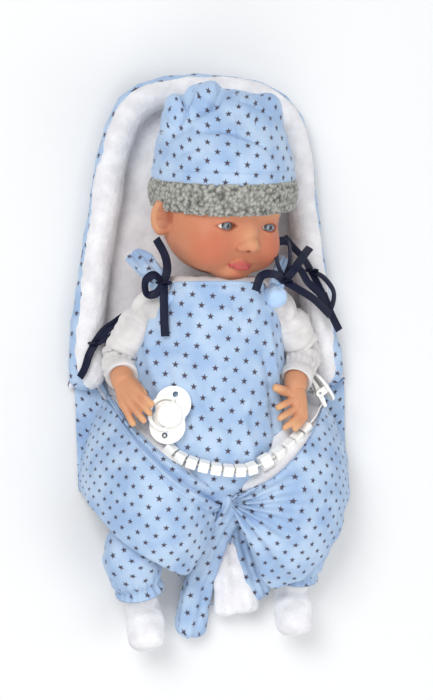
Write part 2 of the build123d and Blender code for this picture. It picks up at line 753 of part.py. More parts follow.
def power_switch():
    """Sliding on-off switch in the tray's floor."""
    slider = at_case(-1.5, -13, 1.5) * Box(5, 3.4, 2.8)
    return slider + at_case(-1.5, -13, CASE_WALL + 0.8) * Box(11, 5, 1.2)


def neck_ring():
    """Split clamp ring that ties the cloth body into the neck's groove."""
    ring = Cylinder(NECK_R + 1.5, 3.4) - Cylinder(NECK_GROOVE_R + GAP, 10)
    return HEAD_AXIS * Pos(0, 0, 5) * ring


# ---------------------------------------------------------------- assembly
def build_nodes():
    """Every named piece of the doll."""
    nodes = {
        "head_shell": head_shell(),
        "right_eye": eye(eye_places()[0]),
        "left_eye": eye(eye_places()[1]),
        "hat": hat(),
        "hat_band": hat_band(),
        "neck_ring": neck_ring(),
        "cloth_body": cloth_body(),
        "shirt": shirt(),
        "romper": romper(),
        "right_strap": strap(-1),
        "left_strap": strap(1),
        "right_pompom": pompom((-43, 57, 73), 7),
        "left_pompom": pompom((44, 58, 74), 9),
        "right_ribbon": ribbon((-46, 68, 78.9), [(-44, 34, 82.9), (-48, 94, 67), (-58, 58, 79)]),
        "left_ribbon": ribbon(
            (51.8, 70.7, 68), [(23.5, 71, 101.6), (56, 88, 61), (88, 56, 51), (76, 84, 57)]
        ),
        "right_swaddle_ribbon": ribbon((-97, 20, 31.9), [(-90, 38, 37), (-103, 3, 32)]),
        "left_swaddle_ribbon": ribbon((84, 84, 32), [(66, 100, 44), (103, 38, 33), (97, 62, 34)]),
        "swaddle_back": swaddle_back(),
        "swaddle_rim": swaddle_rim(),
        "right_flap": flap(RIGHT_FLAP, (-48, -100, SHEET), (60, 98, 86)),
        "left_flap": flap(LEFT_FLAP, (56, -98, SHEET), (64, 98, 88)),
        "right_tail": tail([(8, -118), (0, -146), (-13, -187), (-17, -224)], [6, 10, 12, 12], SHEET, 26),
        "left_tail": tail([(22, -136), (30, -156), (44, -186)], [5, 7, 7], SHEET, 24),
        "fleece_lining": plate_from_points(LINING, SHEET, 18),
        "pacifier_shield": pacifier_shield(),
        "pacifier_knob": pacifier_knob(),
        "pacifier_ring": pacifier_ring(),
        "pacifier_teat": pacifier_teat(),
        "strap_cord": strap_cord(),
        "strap_beads": strap_beads(),
        "strap_charm": strap_charm(),
        "clip_disc": clip_disc(),
        "clip_pin": clip_pin(),
        "clip_lever": clip_lever(),
        "sound_case": sound_case(),
        "sound_cover": sound_cover(),
        "case_screws": case_screws(),
        "speaker": speaker(),
        "circuit_board": circuit_board(),
        "button_cells": button_cells(),
        "battery_contacts": battery_contacts(),
        "battery_door": battery_door(),
        "push_button": push_button(),
        "power_switch": power_switch(),
    }
    for name, joints, fingers, disc_x in (
        ("right", RIGHT_ARM, RIGHT_FINGERS, -SHOULDER_DISC),
        ("left", LEFT_ARM, LEFT_FINGERS, SHOULDER_DISC),
    ):
        pin = pivot(joints, SHOULDER_R, disc_x)
        nodes[name + "_shoulder_pin"] = pin
        nodes[name + "_arm"] = arm_solid(joints, fingers) - pin
        nodes[name + "_sleeve"] = sleeve(joints) - pivot(joints, 0, disc_x, GAP)
    for name, joints, disc_x in (("right", RIGHT_LEG, -HIP_DISC), ("left", LEFT_LEG, HIP_DISC)):
        pin = pivot(joints, 0, disc_x)
        shoe = bootie(joints) - leg(joints)
        nodes[name + "_hip_pin"] = pin
        nodes[name + "_leg"] = leg(joints) - pin
        nodes[name + "_bootie"] = shoe
        nodes[name + "_trouser"] = trouser_leg(joints, bootie(joints)) - pivot(joints, 0, disc_x, GAP)
    return nodes


os.makedirs("parts", exist_ok=True)
for node_name, shape in build_nodes().items():
    export_step(shape, "parts/" + node_name + ".step")
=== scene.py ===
import json
import math

import bmesh
import bpy
import numpy as np
from mathutils import Matrix, Vector, noise


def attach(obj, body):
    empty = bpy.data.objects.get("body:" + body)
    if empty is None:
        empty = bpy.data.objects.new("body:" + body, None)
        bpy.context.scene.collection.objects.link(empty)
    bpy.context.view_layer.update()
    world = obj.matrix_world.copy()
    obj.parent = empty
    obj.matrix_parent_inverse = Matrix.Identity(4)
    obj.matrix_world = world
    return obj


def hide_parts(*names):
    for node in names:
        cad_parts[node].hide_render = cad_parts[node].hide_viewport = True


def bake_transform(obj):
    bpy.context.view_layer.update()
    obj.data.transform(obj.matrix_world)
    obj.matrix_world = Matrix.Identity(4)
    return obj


# A soft-bodied baby doll lying in its tied swaddle. Shapes are worked in millimetres and scaled
# to metres as each mesh is finished. +Y runs to the crown, +X to the doll's left, +Z out of its tummy.
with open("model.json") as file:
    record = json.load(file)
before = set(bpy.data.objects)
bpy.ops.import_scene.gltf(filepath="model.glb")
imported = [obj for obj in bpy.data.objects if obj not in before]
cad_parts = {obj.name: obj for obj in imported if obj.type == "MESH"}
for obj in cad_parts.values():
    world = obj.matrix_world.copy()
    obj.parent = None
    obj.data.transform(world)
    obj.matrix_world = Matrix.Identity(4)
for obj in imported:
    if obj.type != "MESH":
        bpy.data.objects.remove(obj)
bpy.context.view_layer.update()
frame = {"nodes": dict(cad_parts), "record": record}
nodes = frame["nodes"]
scene = bpy.context.scene
scene.view_settings.view_transform = "Standard"

MM = 0.001
SKULL_R = 54.5
HEAD_Z = 67.1
# the head rolls a little, turns to its left and nods towards the feet
HEAD = (
    Matrix.Translation((0, 146.5, HEAD_Z))
    @ Matrix.Rotation(math.radians(2), 4, "Z")
    @ Matrix.Rotation(math.radians(26.5), 4, "Y")
    @ Matrix.Rotation(math.radians(12), 4, "X")
)


# ---------------------------------------------------------------- materials
def linear(code):
    """sRGB hex to a linear colour with alpha."""
    values = [int(code[i:i + 2], 16) / 255 for i in (1, 3, 5)]
    return tuple(v / 12.92 if v <= 0.04045 else ((v + 0.055) / 1.055) ** 2.4 for v in values) + (1.0,)


def add(tree, kind, settings=None, inputs=None):
    """Adds one node with its settings, and its inputs linked or set."""
    made = tree.nodes.new(kind)
    for key, value in (settings or {}).items():
        setattr(made, key, value)
    for key, value in (inputs or {}).items():
        if isinstance(value, bpy.types.NodeSocket):
            tree.links.new(value, made.inputs[key])
        else:
            made.inputs[key].default_value = value
    return made


def surface(name, colour, roughness, extra=None):
    """A material with its Principled shader; extra holds values for the shader's own sockets."""
    material = bpy.data.materials.new(name)
    material.use_nodes = True
    tree = material.node_tree
    shader = tree.nodes["Principled BSDF"]
    shader.inputs["Roughness"].default_value = roughness
    shader.inputs["Base Color"].default_value = linear(colour)
    for key, value in (extra or {}).items():
        shader.inputs[key].default_value = value
    return material, tree, shader


def grain(tree, shader, where, size, height, detail=3.0, stretch=(1, 1, 1)):
    """Fine relief of a given grain size, in metres, on the shader's normal."""
    place = add(tree, "ShaderNodeMapping", {}, {"Vector": where, "Scale": stretch})
    texture = add(
        tree, "ShaderNodeTexNoise", {}, {"Vector": place.outputs[0], "Scale": 1 / size, "Detail": detail}
    )
    bump = add(
        tree, "ShaderNodeBump", {}, {"Height": texture.outputs[0], "Strength": 1.0, "Distance": height}
    )
    tree.links.new(bump.outputs[0], shader.inputs["Normal"])
    return texture


def mottled(tree, where, size, low, high, detail=2.0):
    """Two close colours drifting into each other over a given size."""
    texture = add(tree, "ShaderNodeTexNoise", {}, {"Vector": where, "Scale": 1 / size, "Detail": detail})
    spread = add(tree, "ShaderNodeMapRange", {}, {"Value": texture.outputs[0], 1: 0.35, 2: 0.65})
    return add(
        tree, "ShaderNodeMix", {"data_type": "RGBA"},
        {0: spread.outputs[0], 6: linear(low), 7: linear(high)},
    )


STAR_PITCH = 0.0164  # two lattices of this pitch, half a step apart
STAR_TIP = 0.0029
STAR_VALLEY = 0.0013
STAR_LEAN = 0.09  # radians that the rows of stars lean across the cloth
CURL_FIBRE = 0.00111  # plush fibres, drawn coarser than life
WEFT_PITCH = 0.00098  # satin weft lines, drawn coarser than life


def star_print(tree):
    """1 inside the printed five-pointed stars of the cloth's own UV map, 0 between them."""
    cloth = add(tree, "ShaderNodeUVMap", {"uv_map": "cloth"})
    turned = add(
        tree, "ShaderNodeVectorRotate", {"rotation_type": "Z_AXIS"},
        {"Vector": cloth.outputs[0], "Angle": STAR_LEAN},
    )
    steps = add(
        tree, "ShaderNodeVectorMath", {"operation": "SCALE"},
        {0: turned.outputs[0], "Scale": 1 / STAR_PITCH},
    )
    sector, half = 2 * math.pi / 5, math.pi / 5
    inner_x, inner_y = STAR_VALLEY * math.cos(half), STAR_VALLEY * math.sin(half)
    found = None
    for shift in (0.0, 0.5):
        moved = add(
            tree, "ShaderNodeVectorMath", {"operation": "ADD"}, {0: steps.outputs[0], 1: (shift, shift, 0)}
        )
        cell = add(tree, "ShaderNodeVectorMath", {"operation": "FRACTION"}, {0: moved.outputs[0]})
        centred = add(
            tree, "ShaderNodeVectorMath", {"operation": "SUBTRACT"}, {0: cell.outputs[0], 1: (0.5, 0.5, 0)}
        )
        local = add(
            tree, "ShaderNodeVectorMath", {"operation": "SCALE"},
            {0: centred.outputs[0], "Scale": STAR_PITCH},
        )
        axes = add(tree, "ShaderNodeSeparateXYZ", {}, {0: local.outputs[0]})
        reach = add(tree, "ShaderNodeVectorMath", {"operation": "LENGTH"}, {0: local.outputs[0]})
        angle = add(
            tree, "ShaderNodeMath", {"operation": "ARCTAN2"}, {0: axes.outputs[0], 1: axes.outputs[1]}
        )
        # fold the angle into half of one point of the star
        folded = angle.outputs[0]
        for operation, amount in (
            ("ADD", 10 * sector + half), ("MODULO", sector), ("SUBTRACT", half), ("ABSOLUTE", 0),
        ):
            folded = add(tree, "ShaderNodeMath", {"operation": operation}, {0: folded, 1: amount}).outputs[0]
        across = add(tree, "ShaderNodeMath", {"operation": "COSINE"}, {0: folded})
        along = add(tree, "ShaderNodeMath", {"operation": "SINE"}, {0: folded})
        x = add(
            tree, "ShaderNodeMath", {"operation": "MULTIPLY"},
            {0: across.outputs[0], 1: reach.outputs["Value"]},
        )
        y = add(
            tree, "ShaderNodeMath", {"operation": "MULTIPLY"},
            {0: along.outputs[0], 1: reach.outputs["Value"]},
        )
        short = add(tree, "ShaderNodeMath", {"operation": "SUBTRACT"}, {0: x.outputs[0], 1: STAR_TIP})
        left = add(tree, "ShaderNodeMath", {"operation": "MULTIPLY"}, {0: short.outputs[0], 1: inner_y})
        right = add(
            tree, "ShaderNodeMath", {"operation": "MULTIPLY"}, {0: y.outputs[0], 1: STAR_TIP - inner_x}
        )
        edge = add(tree, "ShaderNodeMath", {"operation": "ADD"}, {0: left.outputs[0], 1: right.outputs[0]})
        # the ink's edge fades over about 0.6 mm
        soft = STAR_TIP * 0.00022
        inside = add(
            tree, "ShaderNodeMapRange", {}, {"Value": edge.outputs[0], 1: soft, 2: -soft, 3: 0.0, 4: 1.0}
        )
        mask = inside.outputs[0]
        found = mask if found is None else add(
            tree, "ShaderNodeMath", {"operation": "MAXIMUM"}, {0: found, 1: mask}
        ).outputs[0]
    return found


def star_cloth():
    """Printed velour: short nap that catches light at grazing angles, dull ink stars."""
    material, tree, shader = surface("printed_velour", "#a3c0e2", 0.85, {
        "Sheen Weight": 0.35, "Sheen Roughness": 0.45, "Sheen Tint": linear("#e6f0fc"), "IOR": 1.45,
        "Specular IOR Level": 0.2,
    })
    where = add(tree, "ShaderNodeTexCoord").outputs["Object"]
    pile = mottled(tree, where, 0.022, "#9ab4d6", "#b5cae2")
    ink = star_print(tree)
    printed = add(
        tree, "ShaderNodeMix", {"data_type": "RGBA"}, {0: ink, 6: pile.outputs[2], 7: linear("#4d4653")}
    )
    tree.links.new(printed.outputs[2], shader.inputs["Base Color"])
    # nap drawn at 0.9 mm, coarser than life, so that it shows
    grain(tree, shader, where, 0.0009, 0.00025)
    return material


def plain_cloth(name, low, high, size, height, roughness=0.9, sheen=0.25):
    """Plain knitted or brushed cloth, slightly uneven in shade."""
    material, tree, shader = surface(name, low, roughness, {
        "Sheen Weight": sheen, "Sheen Roughness": 0.5, "IOR": 1.45, "Specular IOR Level": 0.2,
    })
    where = add(tree, "ShaderNodeTexCoord").outputs["Object"]
    shade = mottled(tree, where, 0.015, low, high)
    tree.links.new(shade.outputs[2], shader.inputs["Base Color"])
    grain(tree, shader, where, size, height)
    return material


def looped_plush():
    """Grey bouclé plush: pale curls standing over gaps darkened with painted shade."""
    material, tree, shader = surface(
        "boucle_plush", "#96958f", 0.95, {"Sheen Weight": 0.2, "Specular IOR Level": 0.1}
    )
    # curl holds each point's curl height; the low gaps between curls take the dark colour as painted shade
    depth = add(tree, "ShaderNodeAttribute", {"attribute_name": "curl"})
    where = add(tree, "ShaderNodeTexCoord").outputs["Object"]
    fine = add(tree, "ShaderNodeTexNoise", {}, {"Vector": where, "Scale": 1 / CURL_FIBRE, "Detail": 2.0})
    both = add(
        tree, "ShaderNodeMath", {"operation": "MULTIPLY_ADD"},
        {0: fine.outputs[0], 1: 0.5, 2: depth.outputs["Fac"]},
    )
    spread = add(tree, "ShaderNodeMapRange", {}, {"Value": both.outputs[0], 1: 0.3, 2: 1.15})
    shade = add(
        tree, "ShaderNodeMix", {"data_type": "RGBA"},
        {0: spread.outputs[0], 6: linear("#5d5c58"), 7: linear("#b4b3ab")},
    )
    tree.links.new(shade.outputs[2], shader.inputs["Base Color"])
    bump = add(tree, "ShaderNodeBump", {}, {"Height": fine.outputs[0], "Strength": 0.8, "Distance": 0.0006})
    tree.links.new(bump.outputs[0], shader.inputs["Normal"])
    return material


def vinyl_skin():
    """Rotocast vinyl: matt, warm, with sprayed blush and lip tint, painted shade in its creases and paler
    patches, kept in the mesh's own attributes.
    """
    material, tree, shader = surface("sprayed_vinyl", "#ca8d69", 0.5, {
        "IOR": 1.52, "Subsurface Weight": 0.12, "Subsurface Scale": 0.004, "Specular IOR Level": 0.35,
    })
    shader.inputs["Subsurface Radius"].default_value = (1.0, 0.4, 0.25)
    where = add(tree, "ShaderNodeTexCoord").outputs["Object"]
    colour = mottled(tree, where, 0.02, "#ca8e69", "#d0946f").outputs[2]
    # the dark crease tint is painted shade in the recesses; the pale tint lightens the head's raised parts as
    # painted highlights, and the fingertips
    for attribute, code in (
        ("blush", "#bd5f45"), ("pale", "#dfae80"), ("crease_shade", "#8f4a35"), ("lip", "#b94c50"),
    ):
        mask = add(tree, "ShaderNodeAttribute", {"attribute_name": attribute})
        colour = add(
            tree, "ShaderNodeMix", {"data_type": "RGBA"}, {0: mask.outputs["Fac"], 6: colour, 7: linear(code)}
        ).outputs[2]
    tree.links.new(colour, shader.inputs["Base Color"])
    grain(tree, shader, where, 0.0012, 0.00004)
    return material


def glass_eye():
    """Acrylic eye: dark pupil, pale ring, grey-blue iris with a dark rim, warm white around it."""
    material, tree, shader = surface("acrylic_eye", "#f1ece4", 0.08, {
        "IOR": 1.49, "Coat Weight": 1.0, "Coat Roughness": 0.03,
    })
    gaze = add(tree, "ShaderNodeUVMap", {"uv_map": "gaze"})
    reach = add(tree, "ShaderNodeVectorMath", {"operation": "LENGTH"}, {0: gaze.outputs[0]})
    ramp = add(tree, "ShaderNodeValToRGB", {}, {0: reach.outputs["Value"]})
    stops = (
        (0.0, "#0b0b0f"), (0.2, "#101116"), (0.23, "#7e858e"), (0.3, "#666e7a"),
        (0.44, "#444a56"), (0.53, "#1c1d24"), (0.59, "#1e2027"), (0.63, "#e6ded6"), (1.0, "#d8cac0"),
    )
    bands = ramp.color_ramp.elements
    while len(bands) < len(stops):
        bands.new(0.5)
    for band, (place, code) in zip(bands, stops):
        band.position = place
        band.color = linear(code)
    tree.links.new(ramp.outputs[0], shader.inputs["Base Color"])
    return material


def satin():
    """Woven satin ribbon: soft sheen across fine weft lines."""
    material, tree, shader = surface("satin_ribbon", "#12162e", 0.5, {
        "Specular IOR Level": 0.2, "Sheen Weight": 0.05, "Sheen Roughness": 0.35,
        "Sheen Tint": linear("#5a64a0"), "IOR": 1.5,
    })
    cloth = add(tree, "ShaderNodeUVMap", {"uv_map": "cloth"})
    # a wave band repeats every tenth of pi at scale one
    weft = add(
        tree, "ShaderNodeTexWave", {"bands_direction": "Y"},
        {"Vector": cloth.outputs[0], "Scale": math.pi / 10 / WEFT_PITCH, "Distortion": 0.4},
    )
    shade = add(
        tree, "ShaderNodeMix", {"data_type": "RGBA"},
        {0: weft.outputs[1], 6: linear("#0d1126"), 7: linear("#171c38")},
    )
    tree.links.new(shade.outputs[2], shader.inputs["Base Color"])
    bump = add(tree, "ShaderNodeBump", {}, {"Height": weft.outputs[1], "Strength": 0.5, "Distance": 0.0001})
    tree.links.new(bump.outputs[0], shader.inputs["Normal"])
    return material


def moulded(name, colour, roughness, height=0.00003, extra=None):
    """Injection-moulded plastic or metal with a faint skin."""
    material, tree, shader = surface(name, colour, roughness, extra or {"IOR": 1.5})
    where = add(tree, "ShaderNodeTexCoord").outputs["Object"]
    texture = grain(tree, shader, where, 0.0008, height)
    spread = add(
        tree, "ShaderNodeMapRange", {}, {"Value": texture.outputs[0], 3: roughness * 0.85, 4: roughness * 1.2}
    )
    tree.links.new(spread.outputs[0], shader.inputs["Roughness"])
    return material


STAR = star_cloth()
# the white jersey is toned down to a pale grey, painted shade laid into the cloth's own colour
SHADED_JERSEY = plain_cloth("cotton_jersey", "#cfcbca", "#dfdbd9", 0.0007, 0.0002)
COTTON = plain_cloth("blue_cotton", "#a8c6ea", "#bcd6f4", 0.0007, 0.00015)
FLEECE = plain_cloth("coral_fleece", "#e2e0e3", "#f2f1f3", 0.0016, 0.0008, 0.95, 0.4)
CALICO = plain_cloth("calico", "#d9cfc2", "#e4dccf", 0.0008, 0.0002)
PLUSH = looped_plush()
SKIN = vinyl_skin()
EYE = glass_eye()
SATIN = satin()
IVORY = moulded(
    "gloss_abs", "#fbf9f4", 0.22, 0.00001, {"IOR": 1.53, "Coat Weight": 0.3, "Coat Roughness": 0.1}
)
WHITE_PLASTIC = moulded("matt_polypropylene", "#ecebe8", 0.5)
BLACK_PLASTIC = moulded("black_abs", "#1a1a1c", 0.45)
STEEL = moulded("turned_steel", "#b9bbbe", 0.3, 0.00002, {"Metallic": 1.0})
BOARD = moulded("board_resin", "#1d5a35", 0.35)
CORD = plain_cloth("braided_polyester", "#efece6", "#fbf9f4", 0.0004, 0.0001, 0.7, 0.2)


# ---------------------------------------------------------------- shape helpers
def sphere_at(points, centre, radius):
    """Signed distance to a sphere."""
    return np.linalg.norm(points - np.array(centre), axis=-1) - radius


def ellipsoid_at(points, centre, radii):
    """Signed distance to an ellipsoid, close enough near its surface."""
    local = points - np.array(centre)
    radii = np.array(radii)
    near = np.linalg.norm(local / radii, axis=-1)
    slope = np.linalg.norm(local / radii ** 2, axis=-1)
    return near * (near - 1) / np.maximum(slope, 1e-6)


def capsule_at(points, start, end, radius):
    """Signed distance to a round-ended bar."""
    start, end = np.array(start, float), np.array(end, float)
    along = end - start
    share = np.clip(((points - start) @ along) / (along @ along), 0, 1)
    return np.linalg.norm(points - start - share[..., None] * along, axis=-1) - radius


def melt(one, other, soft):
    """Union of two distances, filleted."""
    share = np.clip(0.5 + 0.5 * (other - one) / soft, 0, 1)
    return other * (1 - share) + one * share - soft * share * (1 - share)


def carve(one, tool, soft):
    """One shape less the other, with a softened edge."""
    return -melt(-one, tool, soft)


def cast(shape, centre, directions, reach=110.0, steps=70):
    """Walks in from outside along each direction until it meets the shape."""
    centre = np.array(centre, float)
    radius = np.full(len(directions), float(reach))
    for _ in range(steps):
        radius -= 0.8 * shape(centre + directions * radius[:, None])
    return centre + directions * radius[:, None]


def smooth_path(points, count):
    """Evenly counted points on a Catmull-Rom curve through a few given ones."""
    points = np.array(points, float)
    padded = np.vstack([2 * points[0] - points[1], points, 2 * points[-1] - points[-2]])
    result = []
    for t in np.linspace(0, len(points) - 1, count):
        k = min(int(t), len(points) - 2)
        f = t - k
        a, b, c, d = padded[k:k + 4]
        result.append(0.5 * (
            2 * b + (c - a) * f + (2 * a - 5 * b + 4 * c - d) * f ** 2 + (3 * b - a - 3 * c + d) * f ** 3
        ))
    return np.array(result)


def tube(path, radii, around, flat=1.0, up=(0, 0, 1)):
    """Rings of points about a path: rows run round, columns along; flat squeezes the ring's height."""
    path = np.array(path, float)
    radii = np.broadcast_to(radii, len(path))
    along = np.gradient(path, axis=0)
    along /= np.linalg.norm(along, axis=1)[:, None]
    side = np.cross(np.array(up, float), along)
    side /= np.maximum(np.linalg.norm(side, axis=1)[:, None], 1e-9)
    rise = np.cross(along, side)
    turn = np.linspace(0, 2 * math.pi, around + 1)[:, None, None]
    return path + (np.cos(turn) * side + np.sin(turn) * rise * flat) * radii[None, :, None]


def rounded_ends(count, radii, end_round):
    """Radii along a tube with domed ends of a given length share."""
    t = np.linspace(0, 1, count)
    edge = np.minimum(t, 1 - t) / end_round
    dome = np.sqrt(np.clip(1 - (1 - np.clip(edge, 0, 1)) ** 2, 0.0002, 1))
    return np.interp(t, np.linspace(0, 1, len(radii)), radii) * dome


def wander(points, size, seed, octaves=2):
    """Smooth noise, about -1 to 1, at each point."""
    flat = points.reshape(-1, 3) / size + seed * 17.3
    values = [noise.fractal(Vector(p), 1.0, 2.0, octaves) for p in flat]
    return np.array(values).reshape(points.shape[:-1])


def facing(points):
    """Unit normals of a grid of points."""
    normal = np.cross(np.gradient(points, axis=0), np.gradient(points, axis=1))
    return normal / np.maximum(np.linalg.norm(normal, axis=-1, keepdims=True), 1e-9)


def outward_from(points, middle):
    """Unit normals of a grid of points, all turned away from a middle line or point."""
    normal = facing(points)
    return normal * np.sign(np.sum(normal * (points - middle), axis=-1))[..., None]


def turned_in(points, path, share):
    """The grid with its open end turned back inside, drawn in to a share of its width."""
    inner = path[-1] + (points[:, -1] - path[-1]) * share - (path[-1] - path[-4])
    return np.concatenate([points, inner[:, None]], axis=1)


def crumple(points, height, size, seed, ease=None):
    """Pushes a grid of points in and out along its normals."""
    push = wander(points, size, seed) * height
    if ease is not None:
        push = push * ease
    return points + facing(points) * push[..., None]


def publish(maker, name, material, body, replaced=(), smooth=True):
    """Turns a bmesh in millimetres into a finished piece of the doll."""
    bmesh.ops.scale(maker, vec=(MM, MM, MM), verts=maker.verts)
    mesh = bpy.data.meshes.new(name)
    maker.to_mesh(mesh)
    maker.free()
    for face in mesh.polygons:
        face.use_smooth = smooth
    mesh.materials.append(material)
    piece = bpy.data.objects.new(name, mesh)
    scene.collection.objects.link(piece)
    if body:
        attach(piece, body)
    if replaced:
        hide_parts(*replaced)
    return piece


def cloth_grid(
    name, points, material, body, replaced=(), wrap=False, thickness=0.0, towards=(0, 0, 1), laid=None,
):
    """A piece from a grid of points; its UV map holds the cloth laid flat, in metres."""
    rows, columns = points.shape[:2]
    maker = bmesh.new()
    bmesh.ops.create_grid(maker, x_segments=rows - 1, y_segments=columns - 1, size=1.0)
    across = np.concatenate([
        np.zeros((1, columns)), np.cumsum(np.linalg.norm(np.diff(points, axis=0), axis=-1), axis=0),
    ])
    across -= across[rows // 2]
    middle = points[rows // 2]
    along = np.concatenate([[0], np.cumsum(np.linalg.norm(np.diff(middle, axis=0), axis=-1))])
    flat = maker.loops.layers.uv.new("cloth")
    spots = {}
    for vert in maker.verts:
        i = round((vert.co.x + 1) / 2 * (rows - 1))
        j = round((vert.co.y + 1) / 2 * (columns - 1))
        spots[vert] = (i, j)
    for face in maker.faces:
        for loop in face.loops:
            i, j = spots[loop.vert]
            spread = (across[i, j], along[j]) if laid is None else laid[i, j]
            loop[flat].uv = (spread[0] * MM, spread[1] * MM)
    for vert, (i, j) in spots.items():
        vert.co = points[i, j]
    if wrap:
        bmesh.ops.remove_doubles(maker, verts=maker.verts, dist=0.02)
        ends = [edge for edge in maker.edges if edge.is_boundary]
        bmesh.ops.holes_fill(maker, edges=ends, sides=0)
        bmesh.ops.recalc_face_normals(maker, faces=maker.faces)
    else:
        maker.normal_update()
        total = sum((face.normal for face in maker.faces), Vector())
        if total.dot(Vector(towards)) < 0:
            bmesh.ops.reverse_faces(maker, faces=maker.faces)
    piece = publish(maker, name, material, body, replaced)
    if thickness:
        wall = piece.modifiers.new("thickness", "SOLIDIFY")
        wall.thickness = thickness * MM
        wall.offset = -1
    return piece


# ---------------------------------------------------------------- camera, light and floor
def set_stage():
    """Pale floor, soft lamps, and the camera over the doll, leaning to its right and to its feet."""
    maker = bmesh.new()
    bmesh.ops.create_grid(maker, x_segments=2, y_segments=2, size=3000)
    floor = publish(maker, "floor", WHITE_FLOOR, None)

    target = Vector((0.0015, 0.0165, 0.05))
    distance = 1.42
    lean = Vector((-math.sin(math.radians(9)), math.sin(math.radians(-2)), 0)) * distance
    lean.z = math.sqrt(distance ** 2 - lean.length_squared)
    view = bpy.data.cameras.new("camera")
    view.lens = 89
    view.sensor_width = 36
    view.clip_end = 20
    camera = bpy.data.objects.new("camera", view)
    scene.collection.objects.link(camera)
    back = lean.normalized()
    right = Vector((0, 1, 0)).cross(back).normalized()
    up = back.cross(right)
    camera.matrix_world = Matrix.Translation(target + lean) @ Matrix((right, up, back)).transposed().to_4x4()
    scene.camera = camera

    for name, place, power, size in (
        ("key_lamp", (-0.9, 0.9, 2.0), 27, 1.1),
        ("fill_lamp", (1.4, -0.6, 1.7), 15, 1.6),
        ("foot_lamp", (-0.3, -1.5, 1.7), 14, 1.4),
    ):
        light = bpy.data.lights.new(name, "AREA")
        light.energy = power
        light.size = size
        lamp = bpy.data.objects.new(name, light)
        lamp.matrix_world = (
            Matrix.Translation(place) @ Vector(place).to_track_quat("Z", "Y").to_matrix().to_4x4()
        )
        scene.collection.objects.link(lamp)

    world = bpy.data.worlds.new("room")
    world.use_nodes = True
    world.node_tree.nodes["Background"].inputs["Color"].default_value = linear("#eef1f5")
    world.node_tree.nodes["Background"].inputs["Strength"].default_value = 0.55
    scene.world = world


def floor_paper():
    """Matt white paper: it looks plain white and still takes the object's shadow."""
    material, tree, shader = surface("matt_paper", "#e9e9e9", 0.9)
    where = add(tree, "ShaderNodeTexCoord").outputs["Object"]
    grain(tree, shader, where, 0.004, 0.0001)
    return material


WHITE_FLOOR = floor_paper()
set_stage()


# ---------------------------------------------------------------- pacifier cord
CORD_ROUTE = [
    (-46.1, -52.85, 85.9), (-44.1, -53.6, 78.8), (-44.3, -60.8, 77.8), (-37, -68.3, 80.4), (-28.3, -73, 83.6),
    (-19.3, -76.3, 85.8), (-9.8, -78.7, 86.9), (0.1, -80.3, 86.9), (10.1, -81.2, 86.2), (19.8, -80.8, 84.6),
    (29.3, -78, 82.9), (43, -70.7, 80.8), (52.6, -64.5, 78), (60.6, -58.3, 75), (68.2, -51.5, 72.5),
    (75, -44, 70), (81, -38.5, 64.5), (85.2, -34.4, 56.3), (87.5, -31.2, 49.5), (91.2, -27.5, 47),
]


def pacifier_cord():
    """Limp braided cord from the pacifier's ring to the clip's lever, strung with square beads."""
    route = [Vector(point) * MM for point in CORD_ROUTE]
    line = bpy.data.curves.new("pacifier_cord", "CURVE")
    line.dimensions = "3D"
    spline = line.splines.new("NURBS")
    spline.points.add(len(route) - 1)
    for point, place in zip(spline.points, route):
        point.co = (*place, 1)
    spline.order_u = 3
    spline.use_endpoint_u = True
    spline.resolution_u = 12
    line.bevel_depth = 0.0008
    line.bevel_resolution = 4
    line.use_fill_caps = True
    line.materials.append(CORD)
    cord = bpy.data.objects.new("pacifier_cord", line)
    scene.collection.objects.link(cord)
    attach(cord, "torso")
    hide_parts("strap_cord")


pacifier_cord()

# Moulded and metal pieces keep their shapes from the frame and take these finishes.
FINISHES = {
    "ivory_plastic": IVORY, "white_plastic": WHITE_PLASTIC, "black_plastic": BLACK_PLASTIC, "steel": STEEL,
    "board": BOARD, "vinyl": SKIN, "eye": EYE, "star_cloth": STAR, "grey_plush": PLUSH,
    "white_jersey": SHADED_JERSEY, "body_cloth": CALICO, "blue_cotton": COTTON, "navy_satin": SATIN,
    "white_fleece": FLEECE, "white_cord": CORD,
}
for subpart in frame["record"]["subparts"]:
    data = nodes[subpart["node"]].data
    data.materials.clear()
    data.materials.append(FINISHES[subpart["material_slot"]])


# ---------------------------------------------------------------- head
EYE_AT = (21.0, -25.0, 38.4)
EYE_R = 8.6
BAND_LOW, BAND_HIGH, BAND_T = -16.0, 7.0, 5.5
# lip rolls and the closed line between them, in the head's own frame
UPPER_LIP = {side: ((side * 1.4, -55.7, 43.4), (side * 9.6, -57.2, 39.6)) for side in (-1, 1)}
LOWER_LIP = ((-4.6, -59.1, 42.0), (4.6, -59.1, 42.0))
LIP_LINE = ((-10.9, -58.4, 40.6), (-3.5, -57.4, 45.2), (3.5, -57.4, 45.2), (10.9, -58.4, 40.6))
# the cap sits square to the body although the face is turned
CAP = (
    Matrix.Translation((4, 147.5, HEAD_Z + 1))
    @ Matrix.Rotation(math.radians(1), 4, "Z")
    @ Matrix.Rotation(math.radians(12), 4, "X")
)


def on_cap(points):
    """A grid of points carried from the cap's own frame to its place on the head."""
    return np.array([CAP @ Vector(p) for p in points.reshape(-1, 3)]).reshape(points.shape)


def lid_opening(points, side):
    """Distance to the almond-shaped prism between one eye's lids."""
    half_width, half_height = 8.4, 3.4
    curve = (half_width ** 2 + half_height ** 2) / (2 * half_height)
    x = points[..., 0] - side * EYE_AT[0]
    y = points[..., 1] - EYE_AT[1] + 0.8 + 0.03 * side * x
    upper = np.hypot(x, y + curve - half_height) - curve
    lower = np.hypot(x, y - curve + half_height * 0.9) - curve
    return np.maximum(np.maximum(upper, lower), 30 - points[..., 2])


